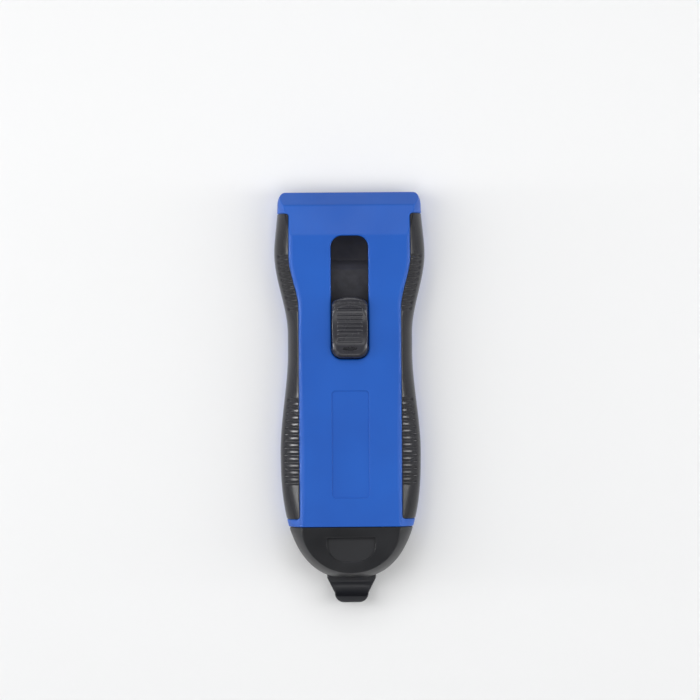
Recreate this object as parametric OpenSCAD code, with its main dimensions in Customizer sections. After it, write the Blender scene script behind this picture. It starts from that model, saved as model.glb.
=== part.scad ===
// Retractable razor blade scraper: two-part housing with soft side grips, a blade
// carriage worked by a lock button, and a drawer of spare blades at the back.
// Millimetres. X runs across, Y towards the cutting edge, Z up from the flat base.
// Lengths along the tool are given as d, the distance behind the nose.

/* [Blade] */
// Length of the cutting edge
blade_l = 39; // [37:0.5:41]
// Depth of a blade from its edge to its back
blade_d = 19; // [18:0.25:20]
// Thickness of the blade strip
blade_t = 0.25; // [0.2:0.05:0.4]
// Depth of the folded spine
spine_d = 4; // [3:0.25:4.75]
// Thickness over the folded spine
spine_t = 1.05; // [0.9:0.05:1.2]
// Thickness of the fold at the back of the spine
fold_t = 0.34; // [0.3:0.02:0.4]
// Chamfer at the front of the spine
fold_lead = 0.3; // [0.2:0.05:0.4]
// Rounding at the back of the spine
fold_round = 0.4; // [0.3:0.05:0.5]
// Distance of the ends of the spine inside the ends of the blade
spine_in = 0.2; // [0.1:0.05:0.4]
// Width of the ground bevel at the edge
bevel_d = 1; // [0.6:0.1:1.6]
// Thickness left at the cutting edge
edge_t = 0.04; // [0.02:0.01:0.06]
// Depth of the notch in each end of a blade
notch_deep = 2.6; // [1.8:0.1:3.2]
// Width of that notch
notch_w = 4; // [3:0.25:5]
// Distance of the notch from the back of the blade
notch_back = 7.5; // [7.4:0.1:8.5]
// How far the edge stands out of the nose when the slide is forward
blade_out = 10; // [8:0.5:11]
// How much of the blade stands clear of the carriage
blade_show = 4.25; // [3.5:0.25:6]

/* [Housing] */
// Height of the flat top
body_h = 18; // [17.5:0.25:20]
// Height of the parting line between the two shells
split_z = 4; // [3.7:0.1:4.6]
// Height at which the sides are widest
mid_z = 8; // [7:0.25:9]
// Length of the steep facet at the nose
nose_l = 4.3; // [3.6:0.1:5]
// Length of the shallow facet behind it
brow_l = 9.8; // [8.6:0.2:11]
// Height of the nose at its front edge
nose_h = 8.5; // [8:0.1:9.5]
// Height of the crease between the two facets
brow_h = 15; // [14.6:0.1:16]
// Housing beside the blade at the front edge
nose_cheek = 1.4; // [1:0.1:2]
// Housing beside the blade at the end of the nose corners
brow_cheek = 3.9; // [3.4:0.1:4.4]
// Housing beside the blade at the widest place
head_cheek = 5.05; // [4.6:0.05:6]
// Distance of the widest place behind the nose
head_d = 20; // [17:0.5:23]
// Width of the waist
waist_w = 40.6; // [39:0.2:44]
// Distance of the waist ahead of the end of the slot
waist_lead = 8.5; // [6:0.5:10]
// Length of the straight part of the waist
waist_l = 6; // [3:0.5:8]
// Width of the belly
belly_w = 45.8; // [43:0.2:49]
// Distance of the belly ahead of the back edge of the shells
belly_back = 24.3; // [20:0.5:28]
// Roundness of the plan from the belly to the tail
tail_power = 2.5; // [2.2:0.05:3]
// Width of the top face between the grips at the head
head_face_w = 39.6; // [37.6:0.2:41]
// Width of the top face between the grips behind the head
back_face_w = 33.4; // [31:0.2:35]
// Fullness of the sides below the shoulder
side_power = 2; // [1.8:0.05:2.4]
// Sharpness of the shoulder between the top and the sides
shoulder_power = 1.05; // [1.02:0.01:1.3]
// Height from the top to the inside shoulder
shoulder_drop = 8; // [7.5:0.25:8.5]
// Rounding under the sides
under_round = 3.5; // [2:0.25:4.5]
// Thickness of the side walls
wall = 1.6; // [1.2:0.1:1.8]
// Thickness of the top wall
top_wall = 2.2; // [1.8:0.1:2.4]
// Thickness of the floor
floor_t = 2; // [1.6:0.1:2.2]
// Thickness taken off the front lip underneath
lip_relief = 1; // [0.4:0.1:1.2]
// Length of that relief
lip_l = 5; // [3:0.25:8]
// Distance of the blade rest inside the mouth
rest_in = 1; // [0.6:0.1:1.5]
// Width of the bare name panel
panel_w = 12; // [8:0.5:16]
// Length of the name panel
panel_l = 34.8; // [25:0.2:36]
// Distance of the name panel behind the slot
panel_gap = 10.3; // [7:0.1:12]
// Depth of the name panel
panel_deep = 0.35; // [0.2:0.05:0.6]
// Corner radius of the name panel
panel_r = 1.3; // [0.6:0.1:2.5]

/* [Grips] */
// Thickness of the soft grips
grip_t = 1.6; // [1.2:0.1:1.8]
// Distance of the grips behind the nose
grip_from = 7; // [6:0.25:9]
// Distance of the grips short of the back edge of the shells
grip_back = 2.5; // [2:0.25:5]
// Drop of the upper edge of the grips below the flat top
grip_drop = 0.8; // [0.6:0.05:1]
// Rounding at the ends of the grips
grip_corner = 0.9; // [0.6:0.1:2.5]
// Radius of the finger flutes
flute_r = 0.75; // [0.5:0.05:0.9]
// Depth of the flutes below the line between their ends
flute_deep = 0.05; // [0.03:0.01:0.1]
// Drop of the upper ends of the flutes below the flat top
flute_drop = 1; // [0.8:0.1:1.4]
// Height from one end of a flute to the other
flute_h = 4; // [3:0.25:5]
// Flutes beside the head
head_flutes = 10; // [4:1:11]
// Spacing of the flutes beside the head
head_pitch = 1.9; // [1.8:0.1:2.2]
// Distance of the first of them behind the widest place of the head
head_flute_back = 1; // [0.5:0.1:2]
// Flutes beside the belly
belly_flutes = 13; // [5:1:14]
// Spacing of the flutes beside the belly
belly_pitch = 2.25; // [2:0.05:2.5]
// Distance of the middle one ahead of the belly
belly_flute_lead = 3.5; // [2:0.25:5]

/* [Slide] */
// Width of the thumb slot
slot_w = 12.2; // [11:0.1:13]
// Setback of the slot behind the last nose crease
slot_setback = 0.2; // [0.1:0.1:1]
// Chamfer around the thumb slot
slot_break = 0.4; // [0.2:0.05:0.8]
// Travel of the slide
travel = 19.5; // [18:0.5:21]
// Length of the button
button_l = 20.1; // [18:0.1:22]
// Corner radius at the back of the button in plan
button_r = 3.4; // [3:0.1:5]
// Radius of the curved front of the button
front_r = 10.5; // [9.5:0.5:13]
// Rounding between that front and the sides
front_corner = 2.2; // [2.1:0.1:2.8]
// Height of the button above the flat top
button_rise = 3; // [2.5:0.1:4]
// Rounding of the top edge of the button
button_edge = 1.6; // [1:0.1:2]
// Radius of the smallest grip ring in the button
ring_r = 10.7; // [8:0.1:14]
// Spacing of the grip rings
ring_pitch = 0.9; // [0.8:0.05:1.1]
// Distance of the last grip ring behind the front of the button
ring_in = 0.9; // [0.7:0.1:1.4]
// Radius of the grip ring grooves
ring_groove = 0.3; // [0.2:0.05:0.4]
// Distance of the groove ahead of the dish behind the front of the button
lip_in = 4.3; // [4:0.1:4.8]
// Radius of that groove
lip_groove = 0.5; // [0.4:0.05:0.6]
// Width of the mark at the back of the button
mark_w = 5; // [3:0.1:5.4]
// Length of that mark
mark_l = 0.97; // [0.8:0.01:1.2]
// Depth of that mark
mark_deep = 0.45; // [0.3:0.05:0.6]
// Distance of that mark ahead of the back of the button
mark_in = 3.1; // [2:0.1:3.6]
// Distance of the dish behind the middle of the button
dish_back = 0.3; // [0:0.1:1.2]
// Depth of the thumb dish in the button
dish_deep = 1; // [0.6:0.05:1.2]
// Radius of the thumb dish
dish_r = 16; // [13:0.5:18]
// Ribs in the thumb dish
dish_ribs = 8; // [4:1:8]
// Spacing of those ribs
rib_pitch = 1.25; // [1.1:0.05:1.3]
// Radius of those ribs
rib_r = 0.4; // [0.3:0.05:0.5]
// Height of those ribs above the dish
rib_h = 0.28; // [0.2:0.02:0.3]
// How far the button goes down to free the slide
press = 1.2; // [1:0.05:1.3]
// Height of the lock rails under the top wall
rail_h = 1.4; // [1.2:0.05:1.5]
// Thickness of the button flange
flange_t = 1.2; // [1:0.05:1.3]
// Thickness of the carriage deck
deck_t = 1.6; // [1.2:0.1:1.8]
// Half width of the carriage deck
deck_hw = 10.2; // [10:0.05:10.4]
// Distance of the deck behind the nose facet when the slide is forward
deck_back = 1.5; // [1.2:0.1:2]
// Length of the ramp from the plate up to the deck
ramp_l = 3.3; // [2.8:0.1:4]
// Thickness of the carriage plate over the blade
plate_t = 2.8; // [2.4:0.1:3]
// Thickness of the plate at its front edge
plate_lip = 0.9; // [0.6:0.05:1.2]
// Distance of the sides of the plate inside the ends of the blade
plate_in = 0.3; // [0.2:0.05:0.5]
// Thickness of the webs under the deck
web_t = 1.6; // [1.2:0.1:1.8]
// Distance of those webs inside the sides of the deck
web_in = 0.4; // [0.3:0.05:0.6]
// Thickness of the bar behind the spine
bar_t = 2; // [1.6:0.1:2.4]
// Half width of that bar
bar_hw = 15; // [12:0.5:17]
// Thickness of the apron that covers the slot behind the button
apron_t = 1.2; // [1:0.1:1.4]
// How far the apron reaches past the slot when the slide is forward
apron_lap = 1; // [0.6:0.1:1.5]
// Width of the button stem
stem_w = 8; // [6:0.2:9]
// Length of the button stem
stem_l = 10; // [8:0.2:10.6]
// How far the stem reaches below the deck
stem_below = 0.8; // [0.5:0.1:1]
// Width of the lock rails
rail_w = 2.9; // [2.5:0.1:3]
// Width of the hold-down ribs beside the rails
hold_w = 1.2; // [0.8:0.1:1.4]
// Distance of those ribs behind the front of the deck
hold_back = 4; // [3:0.25:6]
// Thickness of the lock spring
spring_t = 0.35; // [0.25:0.05:0.4]
// Width of the spring arms
arm_w = 1.55; // [1.2:0.05:1.7]
// Length of the fixed end of the spring
foot_l = 3.2; // [2.6:0.1:3.4]
// Distance of the fixed end behind the button stem
foot_gap = 1.2; // [0.9:0.1:1.4]
// Radius of the rivets through the fixed end
rivet_r = 0.8; // [0.6:0.05:0.9]
// Distance of the spring ears ahead of the button stem
ear_lead = 2.6; // [2:0.1:3]
// Height of the spring ears above the bottom of the lock rails
ear_h = 0.9; // [0.7:0.05:1]

/* [Drawer] */
// Spare blades in the drawer
spare_count = 4; // [2:1:4]
// Thickness of the tray walls
tray_wall = 1.4; // [1.2:0.1:1.6]
// Thickness of the tray floor
tray_floor = 1; // [0.8:0.1:1.2]
// Length of tray kept inside the housing at full reach
tray_keep = 7.8; // [6:0.2:9]
// Room between the carriage and the tray
bay_gap = 5; // [4:0.25:7]
// Room above the spare blades
stack_gap = 0.5; // [0.3:0.05:0.8]
// Distance of the well inside the rear edge of the housing
well_in = 0.5; // [0.3:0.05:0.8]
// Length of the end cap
cap_l = 17; // [15:0.25:19]
// Rounding at the back of the end cap
cap_edge = 2; // [1.5:0.1:3]
// Thickness of the end cap behind the tray
cap_back = 5; // [4.5:0.25:6]
// Thickness of the tongues that centre the end cap in the shells
tongue_t = 1.6; // [1.2:0.1:2]
// Length of those tongues
tongue_l = 4; // [3:0.25:5]
// Distance of the thumb recess behind the front of the end cap
thumb_from = 3.6; // [3:0.1:4.2]
// Width of the thumb recess in the end cap
thumb_w = 15.6; // [12:0.2:16]
// Length of the thumb recess
thumb_l = 7.6; // [6:0.2:8]
// Depth of the thumb recess at its front
thumb_deep = 1.1; // [0.6:0.1:1.3]
// Radius of the back corners of the thumb recess
thumb_r = 5.5; // [4:0.1:6]
// Slope of the floor of the thumb recess in degrees
thumb_tilt = 6; // [4:0.5:8]
// Length of the pull tab behind the end cap
tab_l = 8; // [7:0.25:10]
// Width of the pull tab at its root
tab_w = 16; // [13:0.2:16.4]
// Width of the pull tab towards its end
tab_end_w = 11; // [9:0.2:12]
// Thickness of the pull tab
tab_t = 2.2; // [1.8:0.1:2.6]
// Rise of the lip at the end of the pull tab
tab_lip = 1; // [0.6:0.1:1.6]
// Corner radius at the end of the pull tab
tab_r = 3; // [2:0.1:4]
// Length of that lip
tab_lip_l = 2.2; // [1.8:0.1:2.8]
// Length of the slope up to that lip
tab_slope_l = 3.3; // [2.8:0.1:4]
// Chamfer at the end of the pull tab
tab_break = 0.9; // [0.6:0.05:1.1]
// Radius of the finger groove across the pull tab
tab_groove_r = 2.9; // [2.4:0.1:3.4]
// Depth of that groove
tab_groove_deep = 0.8; // [0.5:0.05:1]
// Distance of that groove ahead of the end of the pull tab
tab_groove_in = 4.7; // [4.2:0.1:5.2]

/* [Screws] */
// Shank diameter of the shell screws
screw_d = 2.2; // [1.8:0.1:2.4]
// Head diameter of the shell screws
screw_head_d = 4.2; // [3.6:0.1:4.4]
// Thickness of the screw heads
screw_head_t = 1; // [0.8:0.05:1.1]
// Length of the screw shanks
screw_l = 8; // [6:0.25:9]
// Length of the cross recess in the screw heads
cross_l = 2.4; // [2:0.1:3]
// Width of that recess
cross_w = 0.5; // [0.4:0.05:0.7]
// Depth of that recess
cross_deep = 0.5; // [0.3:0.05:0.7]
// Radius of the screw bosses
boss_r = 2.6; // [2.4:0.05:2.7]
// Room between the bosses and what slides past them
boss_gap = 1.5; // [1.3:0.1:1.8]
// Distance of the rear bosses ahead of the back edge of the shells
boss_back = 12; // [10:0.5:14]

/* [Fits] */
// Gap around sliding pieces
slide_gap = 0.2; // [0.15:0.05:0.3]
// Gap around pieces that are set in place
seat_gap = 0.05; // [0.03:0.01:0.08]
// Gap between the button and each side of the slot
button_gap = 0.25; // [0.2:0.05:0.35]
// Gap between a blade strip and its folded spine
fold_gap = 0.01; // [0.005:0.005:0.02]
// Gap at the ends of the button travel
end_gap = 0.3; // [0.2:0.05:0.5]
// Gap between the shells and the end cap
joint_gap = 0.2; // [0.15:0.05:0.4]

/* [Hidden] */
$fn = 48;
spares = [for (i = [1:spare_count]) i];

blue = [0.10, 0.33, 0.72];
black = [0.16, 0.16, 0.18];
rubber = [0.12, 0.12, 0.14];
steel = [0.75, 0.76, 0.78];

// Overlap of features that grow out of one another, and how far ribs and cuts run past a face
lap = 0.3;
past = 1;
// Thickness left at the rounded ends of a grip, and the least step between its inner levels
grip_edge = 0.02;
grip_step = 0.1;

// Places along the tool
slot_d = nose_l + brow_l + slot_setback;
button_d = slot_d + end_gap + travel;
button_mid = button_d + button_l / 2;
slot_end = button_d + button_l + end_gap;
edge_d = travel - blade_out;
back_d = edge_d + blade_d;
plate_d = edge_d + blade_show;
deck_d = travel + nose_l + deck_back;
ramp_d = deck_d - ramp_l;
deck_end = slot_end + travel + apron_lap;
web_end = slot_end + apron_t;
riser_d = slot_end + end_gap;
stem_d = button_mid - stem_l / 2;
foot_d = button_mid + stem_l / 2 + foot_gap;
ear_d = stem_d - ear_lead;
tray_well = blade_l + 4 * slide_gap;
tray_in = tray_keep + tray_wall + tray_well + well_in;
body_l = slot_end + bay_gap + tray_in;
tray_d = body_l - tray_in;
well_d = tray_d + tray_keep + tray_wall;
tray_end = body_l + cap_l - cap_back;
cap_end = body_l + cap_l;
total_l = cap_end + tab_l;
waist_d = slot_end - waist_lead;
belly_d = body_l - belly_back;
grip_to = body_l - grip_back;

// Heights
roof_z = body_h - top_wall;
rail_z = roof_z - rail_h;
flange_z = rail_z - slide_gap - flange_t;
deck_z = flange_z - press - spring_t - slide_gap;
blade_z = floor_t + slide_gap + spine_t / 2;
plate_z = blade_z + blade_t / 2 + seat_gap;
plate_top = plate_z + plate_t;
mouth_z = plate_top + slide_gap;
tray_z = floor_t + slide_gap;
well_z = tray_z + tray_floor;
tray_top = well_z + spare_count * (spine_t + seat_gap) + stack_gap;
grip_z = body_h - grip_drop;
shoulder_z = body_h - shoulder_drop;

// Widths
mouth_hw = blade_l / 2 + 2 * slide_gap;
plate_hw = blade_l / 2 - plate_in;
web_hw = deck_hw - web_in;
tray_hw = blade_d / 2 + 2 * slide_gap + tray_wall;
button_hw = slot_w / 2 - button_gap;
rail_in = slot_w / 2 + slide_gap;
rail_out = rail_in + rail_w;
arm_in = rail_in + seat_gap;
arm_out = arm_in + arm_w;
flange_hw = rail_out - 4 * slide_gap;
ear_hw = rail_out - 3 * slide_gap;
boss_front = [deck_hw + boss_gap + boss_r, button_mid];
boss_rear = [tray_hw + boss_gap + boss_r, body_l - boss_back];

function at(d) = total_l / 2 - d;
function ease(t) = t * t * (3 - 2 * t);
function step(a, b, d0, d1, d) = a + (b - a) * ease(max(0, min(1, (d - d0) / (d1 - d0))));

// Half width of the plan at its widest height
function tail_hw(d) =
  belly_w / 2 * pow(max(0, 1 - pow((d - belly_d) / (cap_end - belly_d), tail_power)), 1 / tail_power);
function nose_hw(d) =
  blade_l / 2 + nose_cheek + (brow_cheek - nose_cheek) * sqrt(max(0, 1 - pow(1 - d / nose_l, 2)));
function head_hw(d) = blade_l / 2 + step(brow_cheek, head_cheek, nose_l, head_d, d);
function neck_hw(d) = step(blade_l / 2 + head_cheek, waist_w / 2, head_d, waist_d, d);
function back_hw(d) = step(waist_w / 2, belly_w / 2, waist_d + waist_l, belly_d, d);
function side(d) =
  d < nose_l ? nose_hw(d) : d < head_d ? head_hw(d) : d < waist_d ? neck_hw(d)
  : d < belly_d ? back_hw(d) : tail_hw(d);

// Half width of the top face where the grips begin
function face(d) = step(head_face_w, back_face_w, head_d + 1, waist_d - 8, d) / 2;

// Half width of the outside at any height
function bow(z) =
  z > mid_z ? pow(max(0, 1 - pow((z - mid_z) / (body_h - mid_z), side_power)), 1 / shoulder_power)
  : sqrt(max(0, 1 - pow((mid_z - z) / mid_z, 2)));
face_k = bow(grip_z);
function crown(d) = (face(d) - side(d) * face_k) / (1 - face_k);
function skin(d, z) =
  z > mid_z ? crown(d) + (side(d) - crown(d)) * bow(z)
  : side(d) - under_round * (1 - bow(z));

// Inner and outer limits of a grip
function grip_in(d) =
  let (
    e = min(d - grip_from, grip_to - d),
    r = grip_corner
  )
  face(d) + (e < r ? r - sqrt(max(0, r * r - pow(r - e, 2))) : 0);

nose_steps = 6;
body_steps = 46;
shell_ds = concat(
  [for (i = [0:nose_steps]) nose_l * (1 - cos(90 * i / nose_steps))],
  [for (i = [1:body_steps]) nose_l + (body_l - nose_l) * i / body_steps]
);
upper_zs = concat(
  [split_z, (split_z + mid_z) / 2],
  [for (a = [0:10:90]) mid_z + (body_h - mid_z) * sin(a)]
);
under_zs = [for (a = [90:-12:42]) mid_z * (1 - sin(a))];
lower_zs = concat(under_zs, [split_z]);

// Solid through a stack of loops whose points pair up across each loop
module loft(loops) {
  n = len(loops[0]);
  k = len(loops);
  points = [for (loop = loops) each loop];
  sides = [for (j = [0:k - 2], i = [0:n - 1])
    [j * n + i, (j + 1) * n + i, (j + 1) * n + (i + 1) % n, j * n + (i + 1) % n]];
  first = [for (i = [0:n / 2 - 2]) [i, i + 1, n - 2 - i, n - 1 - i]];
  last = [for (f = first) [for (i = [3:-1:0]) f[i] + (k - 1) * n]];
  polyhedron(points = points, faces = concat(sides, first, last), convexity = 8);
}

function mirrored(half) =
  concat([for (i = [len(half) - 1:-1:0]) half[i]], [for (p = half) [-p[0], p[1], p[2]]]);
function shell_loop(z) = mirrored([for (d = shell_ds) [skin(d, z), at(d), z]]);

// Box between two widths, two places along the tool and two heights
module block(x0, x1, d0, d1, z0, z1) {
  translate([x0, at(d1), z0]) cube([x1 - x0, d1 - d0, z1 - z0]);
}

// The same box on both sides of the tool
module pair(x0, x1, d0, d1, z0, z1) {
  block(x0, x1, d0, d1, z0, z1);
  block(-x1, -x0, d0, d1, z0, z1);
}

// Bar with a side profile of [d, z] points
module bar(profile, x0, x1) {
  translate([x0, 0, 0]) rotate([90, 0, 90]) linear_extrude(x1 - x0)
    polygon([for (p = profile) [at(p[0]), p[1]]]);
}

// Post at a place on both sides of the tool
module posts(place, r, z0, z1) {
  for (s = [-1, 1])
    translate([s * place[0], at(place[1]), z0]) cylinder(r = r, h = z1 - z0);
}

// Points of a rectangle with round corners, right half from back to front
function round_half(hw, d0, d1, r, z) = concat(
  [for (a = [90:-15:0]) [hw - r + r * cos(a), at(d0 + r - r * sin(a)), z]],
  [for (a = [0:15:90]) [hw - r + r * cos(a), at(d1 - r + r * sin(a)), z]]
);
function round_loop(hw, d0, d1, r, z) = mirrored(round_half(hw, d0, d1, r, z));

// Everything above the nose facets, lowered by a drop
module over_nose(drop) {
  slope = (brow_h - nose_h) / nose_l;
  bar([
    [-past, nose_h - past * slope - drop],
    [nose_l, brow_h - drop],
    [nose_l + brow_l, body_h - drop],
    [nose_l + brow_l, body_h + past],
    [-past, body_h + past]
  ], -blade_l, blade_l);
}

function plan(inset, d0, d1, n, upper) =
  let (ds = [for (i = [0:n]) d0 + (d1 - d0) * i / n])
  concat(
    [for (d = ds) [(upper ? face(d) : side(d) - grip_t) - inset, at(d)]],
    [for (i = [n:-1:0]) [inset - (upper ? face(ds[i]) : side(ds[i]) - grip_t), at(ds[i])]]
  );

// Room inside the housing
module room(z0) {
  difference() {
    union() {
      translate([0, 0, z0]) linear_extrude(shoulder_z - z0)
        polygon(plan(wall + 2 * slide_gap, wall, body_l + past, 30, false));
      translate([0, 0, shoulder_z - past]) linear_extrude(roof_z - shoulder_z + past)
        polygon(plan(wall + lap, wall + slide_gap, body_l + past, 30, true));
    }
    over_nose(top_wall);
  }
  block(-mouth_hw, mouth_hw, -past, back_d + 2 * lap, z0, mouth_z);
}

// Thumb slot with a small chamfer at the top
module slot() {
  r = button_r + end_gap;
  loft([
    for (s = [[rail_z - past, 0], [body_h - slot_break, 0], [body_h + past, slot_break + past]])
      round_loop(slot_w / 2 + s[1], slot_d - s[1], slot_end + s[1], r + s[1], s[0])
  ]);
}

module panel() {
  d0 = slot_end + panel_gap;
  loft([
    for (s = [[body_h - panel_deep, 0], [body_h + past, (panel_deep + past) / 2]])
      round_loop(panel_w / 2 + s[1], d0 - s[1], d0 + panel_l + s[1], panel_r + s[1], s[0])
  ]);
}

grip_ds = concat(
  [for (a = [0:22.5:67.5]) grip_from + grip_corner * (1 - cos(a))],
  [for (i = [0:34]) grip_from + grip_corner + (grip_to - grip_from - 2 * grip_corner) * i / 34],
  [for (a = [67.5:-22.5:0]) grip_to - grip_corner * (1 - cos(a))]
);
grip_zs = [for (a = [0:12.5:75]) mid_z + (grip_z - mid_z) * sin(a * 90 / 75)];
grip_levels = concat([split_z + seat_gap, (split_z + mid_z) / 2], grip_zs);
top_level = len(grip_levels) - 1;
function grip_inner(d, z) = max(grip_in(d), skin(d, z) - grip_t);
function grip_outer(d, z) = max(grip_in(d) + grip_edge, skin(d, z));
function inner_z(i) = min(grip_levels[i], grip_z - lap - grip_step * (1 + top_level - i));
function grip_loop(d) = concat(
  [for (i = [0:top_level]) [grip_outer(d, grip_levels[i]), at(d), grip_levels[i]]],
  [for (i = [top_level:-1:0])
    let (z = i == top_level ? grip_z - lap : inner_z(i))
    [grip_inner(d, z), at(d), z]]
);
function pocket_loop(d, end) = concat(
  [for (i = [-1:top_level])
    [head_d + blade_l, at(d + end),
      i < 0 ? split_z - past : grip_levels[i] + (i == top_level ? body_h : -seat_gap)]],
  [for (i = [top_level:-1:-1])
    let (z = inner_z(max(i, 0)))
    [grip_inner(d, z) - seat_gap, at(d + end),
      i == top_level ? grip_z + body_h : i < 0 ? split_z - past : z]]
);

module grip_pocket() {
  n = len(grip_ds) - 1;
  loft([for (i = [0:n]) pocket_loop(grip_ds[i], i == 0 ? -seat_gap : i == n ? seat_gap : 0)]);
}

// Flute across the shoulder of a grip
module flute(d) {
  z0 = body_h - flute_drop;
  z1 = z0 - flute_h;
  x0 = skin(d, z0);
  x1 = skin(d, z1);
  l = norm([x1 - x0, z1 - z0]);
  lift = flute_r - flute_deep;
  translate([x0 + lift * (z0 - z1) / l, at(d), z0 + lift * (x1 - x0) / l])
    rotate([0, atan2(x1 - x0, z1 - z0), 0])
      translate([0, 0, -past]) cylinder(r = flute_r, h = l + 2 * past, $fn = 24);
}

module grip() {
  n = len(grip_ds) - 1;
  difference() {
    loft([for (i = [0:n]) grip_loop(grip_ds[i])]);
    over_nose(0);
    for (i = [0:head_flutes - 1])
      flute(head_d + head_flute_back + i * head_pitch);
    for (i = [0:belly_flutes - 1])
      flute(belly_d - belly_flute_lead + (i - (belly_flutes - 1) / 2) * belly_pitch);
  }
}

module right_grip() {
  color(rubber) grip();
}

module left_grip() {
  color(rubber) mirror([1, 0, 0]) grip();
}

module top_shell() {
  color(blue) difference() {
    union() {
      difference() {
        loft([for (z = upper_zs) shell_loop(z)]);
        over_nose(0);
        room(split_z - 1);
      }
      pair(rail_in, rail_out, slot_d - lap, slot_end + past, rail_z, roof_z + lap);
      pair(rail_out - lap, rail_out + hold_w, deck_d + hold_back, slot_end + 2 * past,
        deck_z + slide_gap, roof_z + lap);
      pair(deck_hw + lap, deck_hw + lap + hold_w, tray_d + lap, body_l - tongue_l - past,
        tray_top + slide_gap,
        roof_z + lap);
      posts(boss_front, boss_r, split_z, roof_z + lap);
      posts(boss_rear, boss_r, split_z, roof_z + lap);
    }
    slot();
    panel();
    grip_pocket();
    mirror([1, 0, 0]) grip_pocket();
    for (d = [ear_d, ear_d - travel])
      pair(slot_w / 2, rail_out - slide_gap, d - spring_t - 3 * slide_gap, d + 4 * slide_gap,
        rail_z - past, roof_z - slide_gap / 2);
    posts(boss_front, screw_d / 2 + seat_gap, split_z - past, split_z + screw_l - past);
    posts(boss_rear, screw_d / 2 + seat_gap, split_z - past, split_z + screw_l - past);
  }
}

module bottom_shell() {
  head_z = floor_t + slide_gap - screw_head_t;
  rest_l = blade_d - spine_d - blade_out - rest_in;
  color(blue) difference() {
    union() {
      difference() {
        loft([for (z = lower_zs) shell_loop(z)]);
        room(floor_t);
      }
      block(rest_in - mouth_hw, mouth_hw - rest_in, rest_in / 2, rest_l,
        floor_t - lap, blade_z - blade_t / 2 - slide_gap);
      pair(web_hw + slide_gap, web_hw + slide_gap + hold_w, back_d + bar_t + past, web_end + past,
        floor_t - lap, split_z - slide_gap / 2);
      pair(tray_hw + slide_gap, tray_hw + slide_gap + hold_w, tray_d - past, body_l - 2 * past,
        floor_t - lap, split_z - slide_gap / 2);
      posts(boss_front, boss_r, floor_t - lap, split_z);
      posts(boss_rear, boss_r, floor_t - lap, split_z);
    }
    bar([[-past, lip_relief * (1 + past / lip_l)], [lip_l, 0], [lip_l, -past], [-past, -past]],
      -blade_l, blade_l);
    for (place = [boss_front, boss_rear]) {
      posts(place, screw_d / 2 + slide_gap, -past, split_z + past);
      posts(place, screw_head_d / 2 + lap, -past, head_z + screw_head_t);
    }
  }
}

// Screw with a cross recess, head down
module screw(place) {
  head_z = floor_t + slide_gap - screw_head_t;
  for (s = [-1, 1])
    translate([s * place[0], at(place[1]), 0]) difference() {
      union() {
        translate([0, 0, head_z]) cylinder(d = screw_head_d, h = screw_head_t);
        translate([0, 0, head_z + screw_head_t / 2]) cylinder(d = screw_d, h = screw_l - past);
      }
      for (turn = [0, 90])
        rotate([0, 0, turn]) translate([-cross_l / 2, -cross_w / 2, head_z - past])
          cube([cross_l, cross_w, cross_deep + past]);
    }
}

module shell_screws() {
  color(steel) {
    screw(boss_front);
    screw(boss_rear);
  }
}

module blade_carriage() {
  web_z = floor_t + slide_gap;
  apron_z = roof_z - slide_gap;
  notch_d = back_d - notch_back;
  color(black) difference() {
    union() {
      bar([
        [plate_d, plate_z],
        [plate_d, plate_z + plate_lip],
        [ramp_d, plate_top],
        [back_d + 2 * slide_gap, plate_top],
        [back_d + 2 * slide_gap, plate_z]
      ], -plate_hw, plate_hw);
      bar([
        [ramp_d, plate_top - lap],
        [deck_d, deck_z],
        [web_end, deck_z],
        [web_end, deck_z - deck_t],
        [deck_d + past, deck_z - deck_t],
        [ramp_d + 2 * past, plate_top - lap]
      ], -deck_hw, deck_hw);
      bar([
        [riser_d, deck_z - lap],
        [riser_d, apron_z],
        [deck_end, apron_z],
        [deck_end, apron_z - apron_t],
        [riser_d + apron_t, apron_z - apron_t],
        [riser_d + apron_t, deck_z - lap]
      ], -slot_w / 2, slot_w / 2);
      block(-bar_hw, bar_hw, back_d + slide_gap, back_d + bar_t, web_z, plate_top - slide_gap);
      pair(web_hw - web_t, web_hw, back_d + past, web_end, web_z, deck_z - lap);
      for (s = [-1, 1])
        translate([s * (blade_l / 2 - notch_deep / 2 - slide_gap / 2), at(notch_d), blade_z - blade_t / 2])
          cylinder(d = min(notch_deep, notch_w) - 3 * slide_gap, h = blade_t + seat_gap + lap);
      posts([stem_w / 2, foot_d + foot_l / 2], rivet_r, deck_z - lap, deck_z + spring_t);
    }
    block(-blade_l / 2 - past, blade_l / 2 + past, back_d - spine_d - slide_gap, back_d + slide_gap / 2,
      blade_z - spine_t, blade_z + spine_t / 2 + seat_gap);
    block(-stem_w / 2 - slide_gap, stem_w / 2 + slide_gap, stem_d - slide_gap, stem_d + stem_l + slide_gap,
      deck_z - deck_t - past, deck_z + past);
  }
}

module lock_spring() {
  rise = flange_z - seat_gap - spring_t - deck_z;
  root = foot_d + slide_gap;
  tip_z = deck_z + rise * (root - ear_d) / (root - stem_d);
  color(steel) difference() {
    union() {
      block(-arm_out, arm_out, foot_d, foot_d + foot_l, deck_z, deck_z + spring_t);
      for (x = [arm_in, -arm_out])
        bar([
          [root, deck_z],
          [root, deck_z + spring_t],
          [ear_d, tip_z + spring_t],
          [ear_d, tip_z]
        ], x, x + arm_w);
      pair(arm_in + 3 * seat_gap, ear_hw, ear_d - spring_t, ear_d + 2 * seat_gap, tip_z, rail_z + ear_h);
    }
    posts([stem_w / 2, foot_d + foot_l / 2], rivet_r + seat_gap, deck_z - past, deck_z + past);
  }
}

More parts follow.
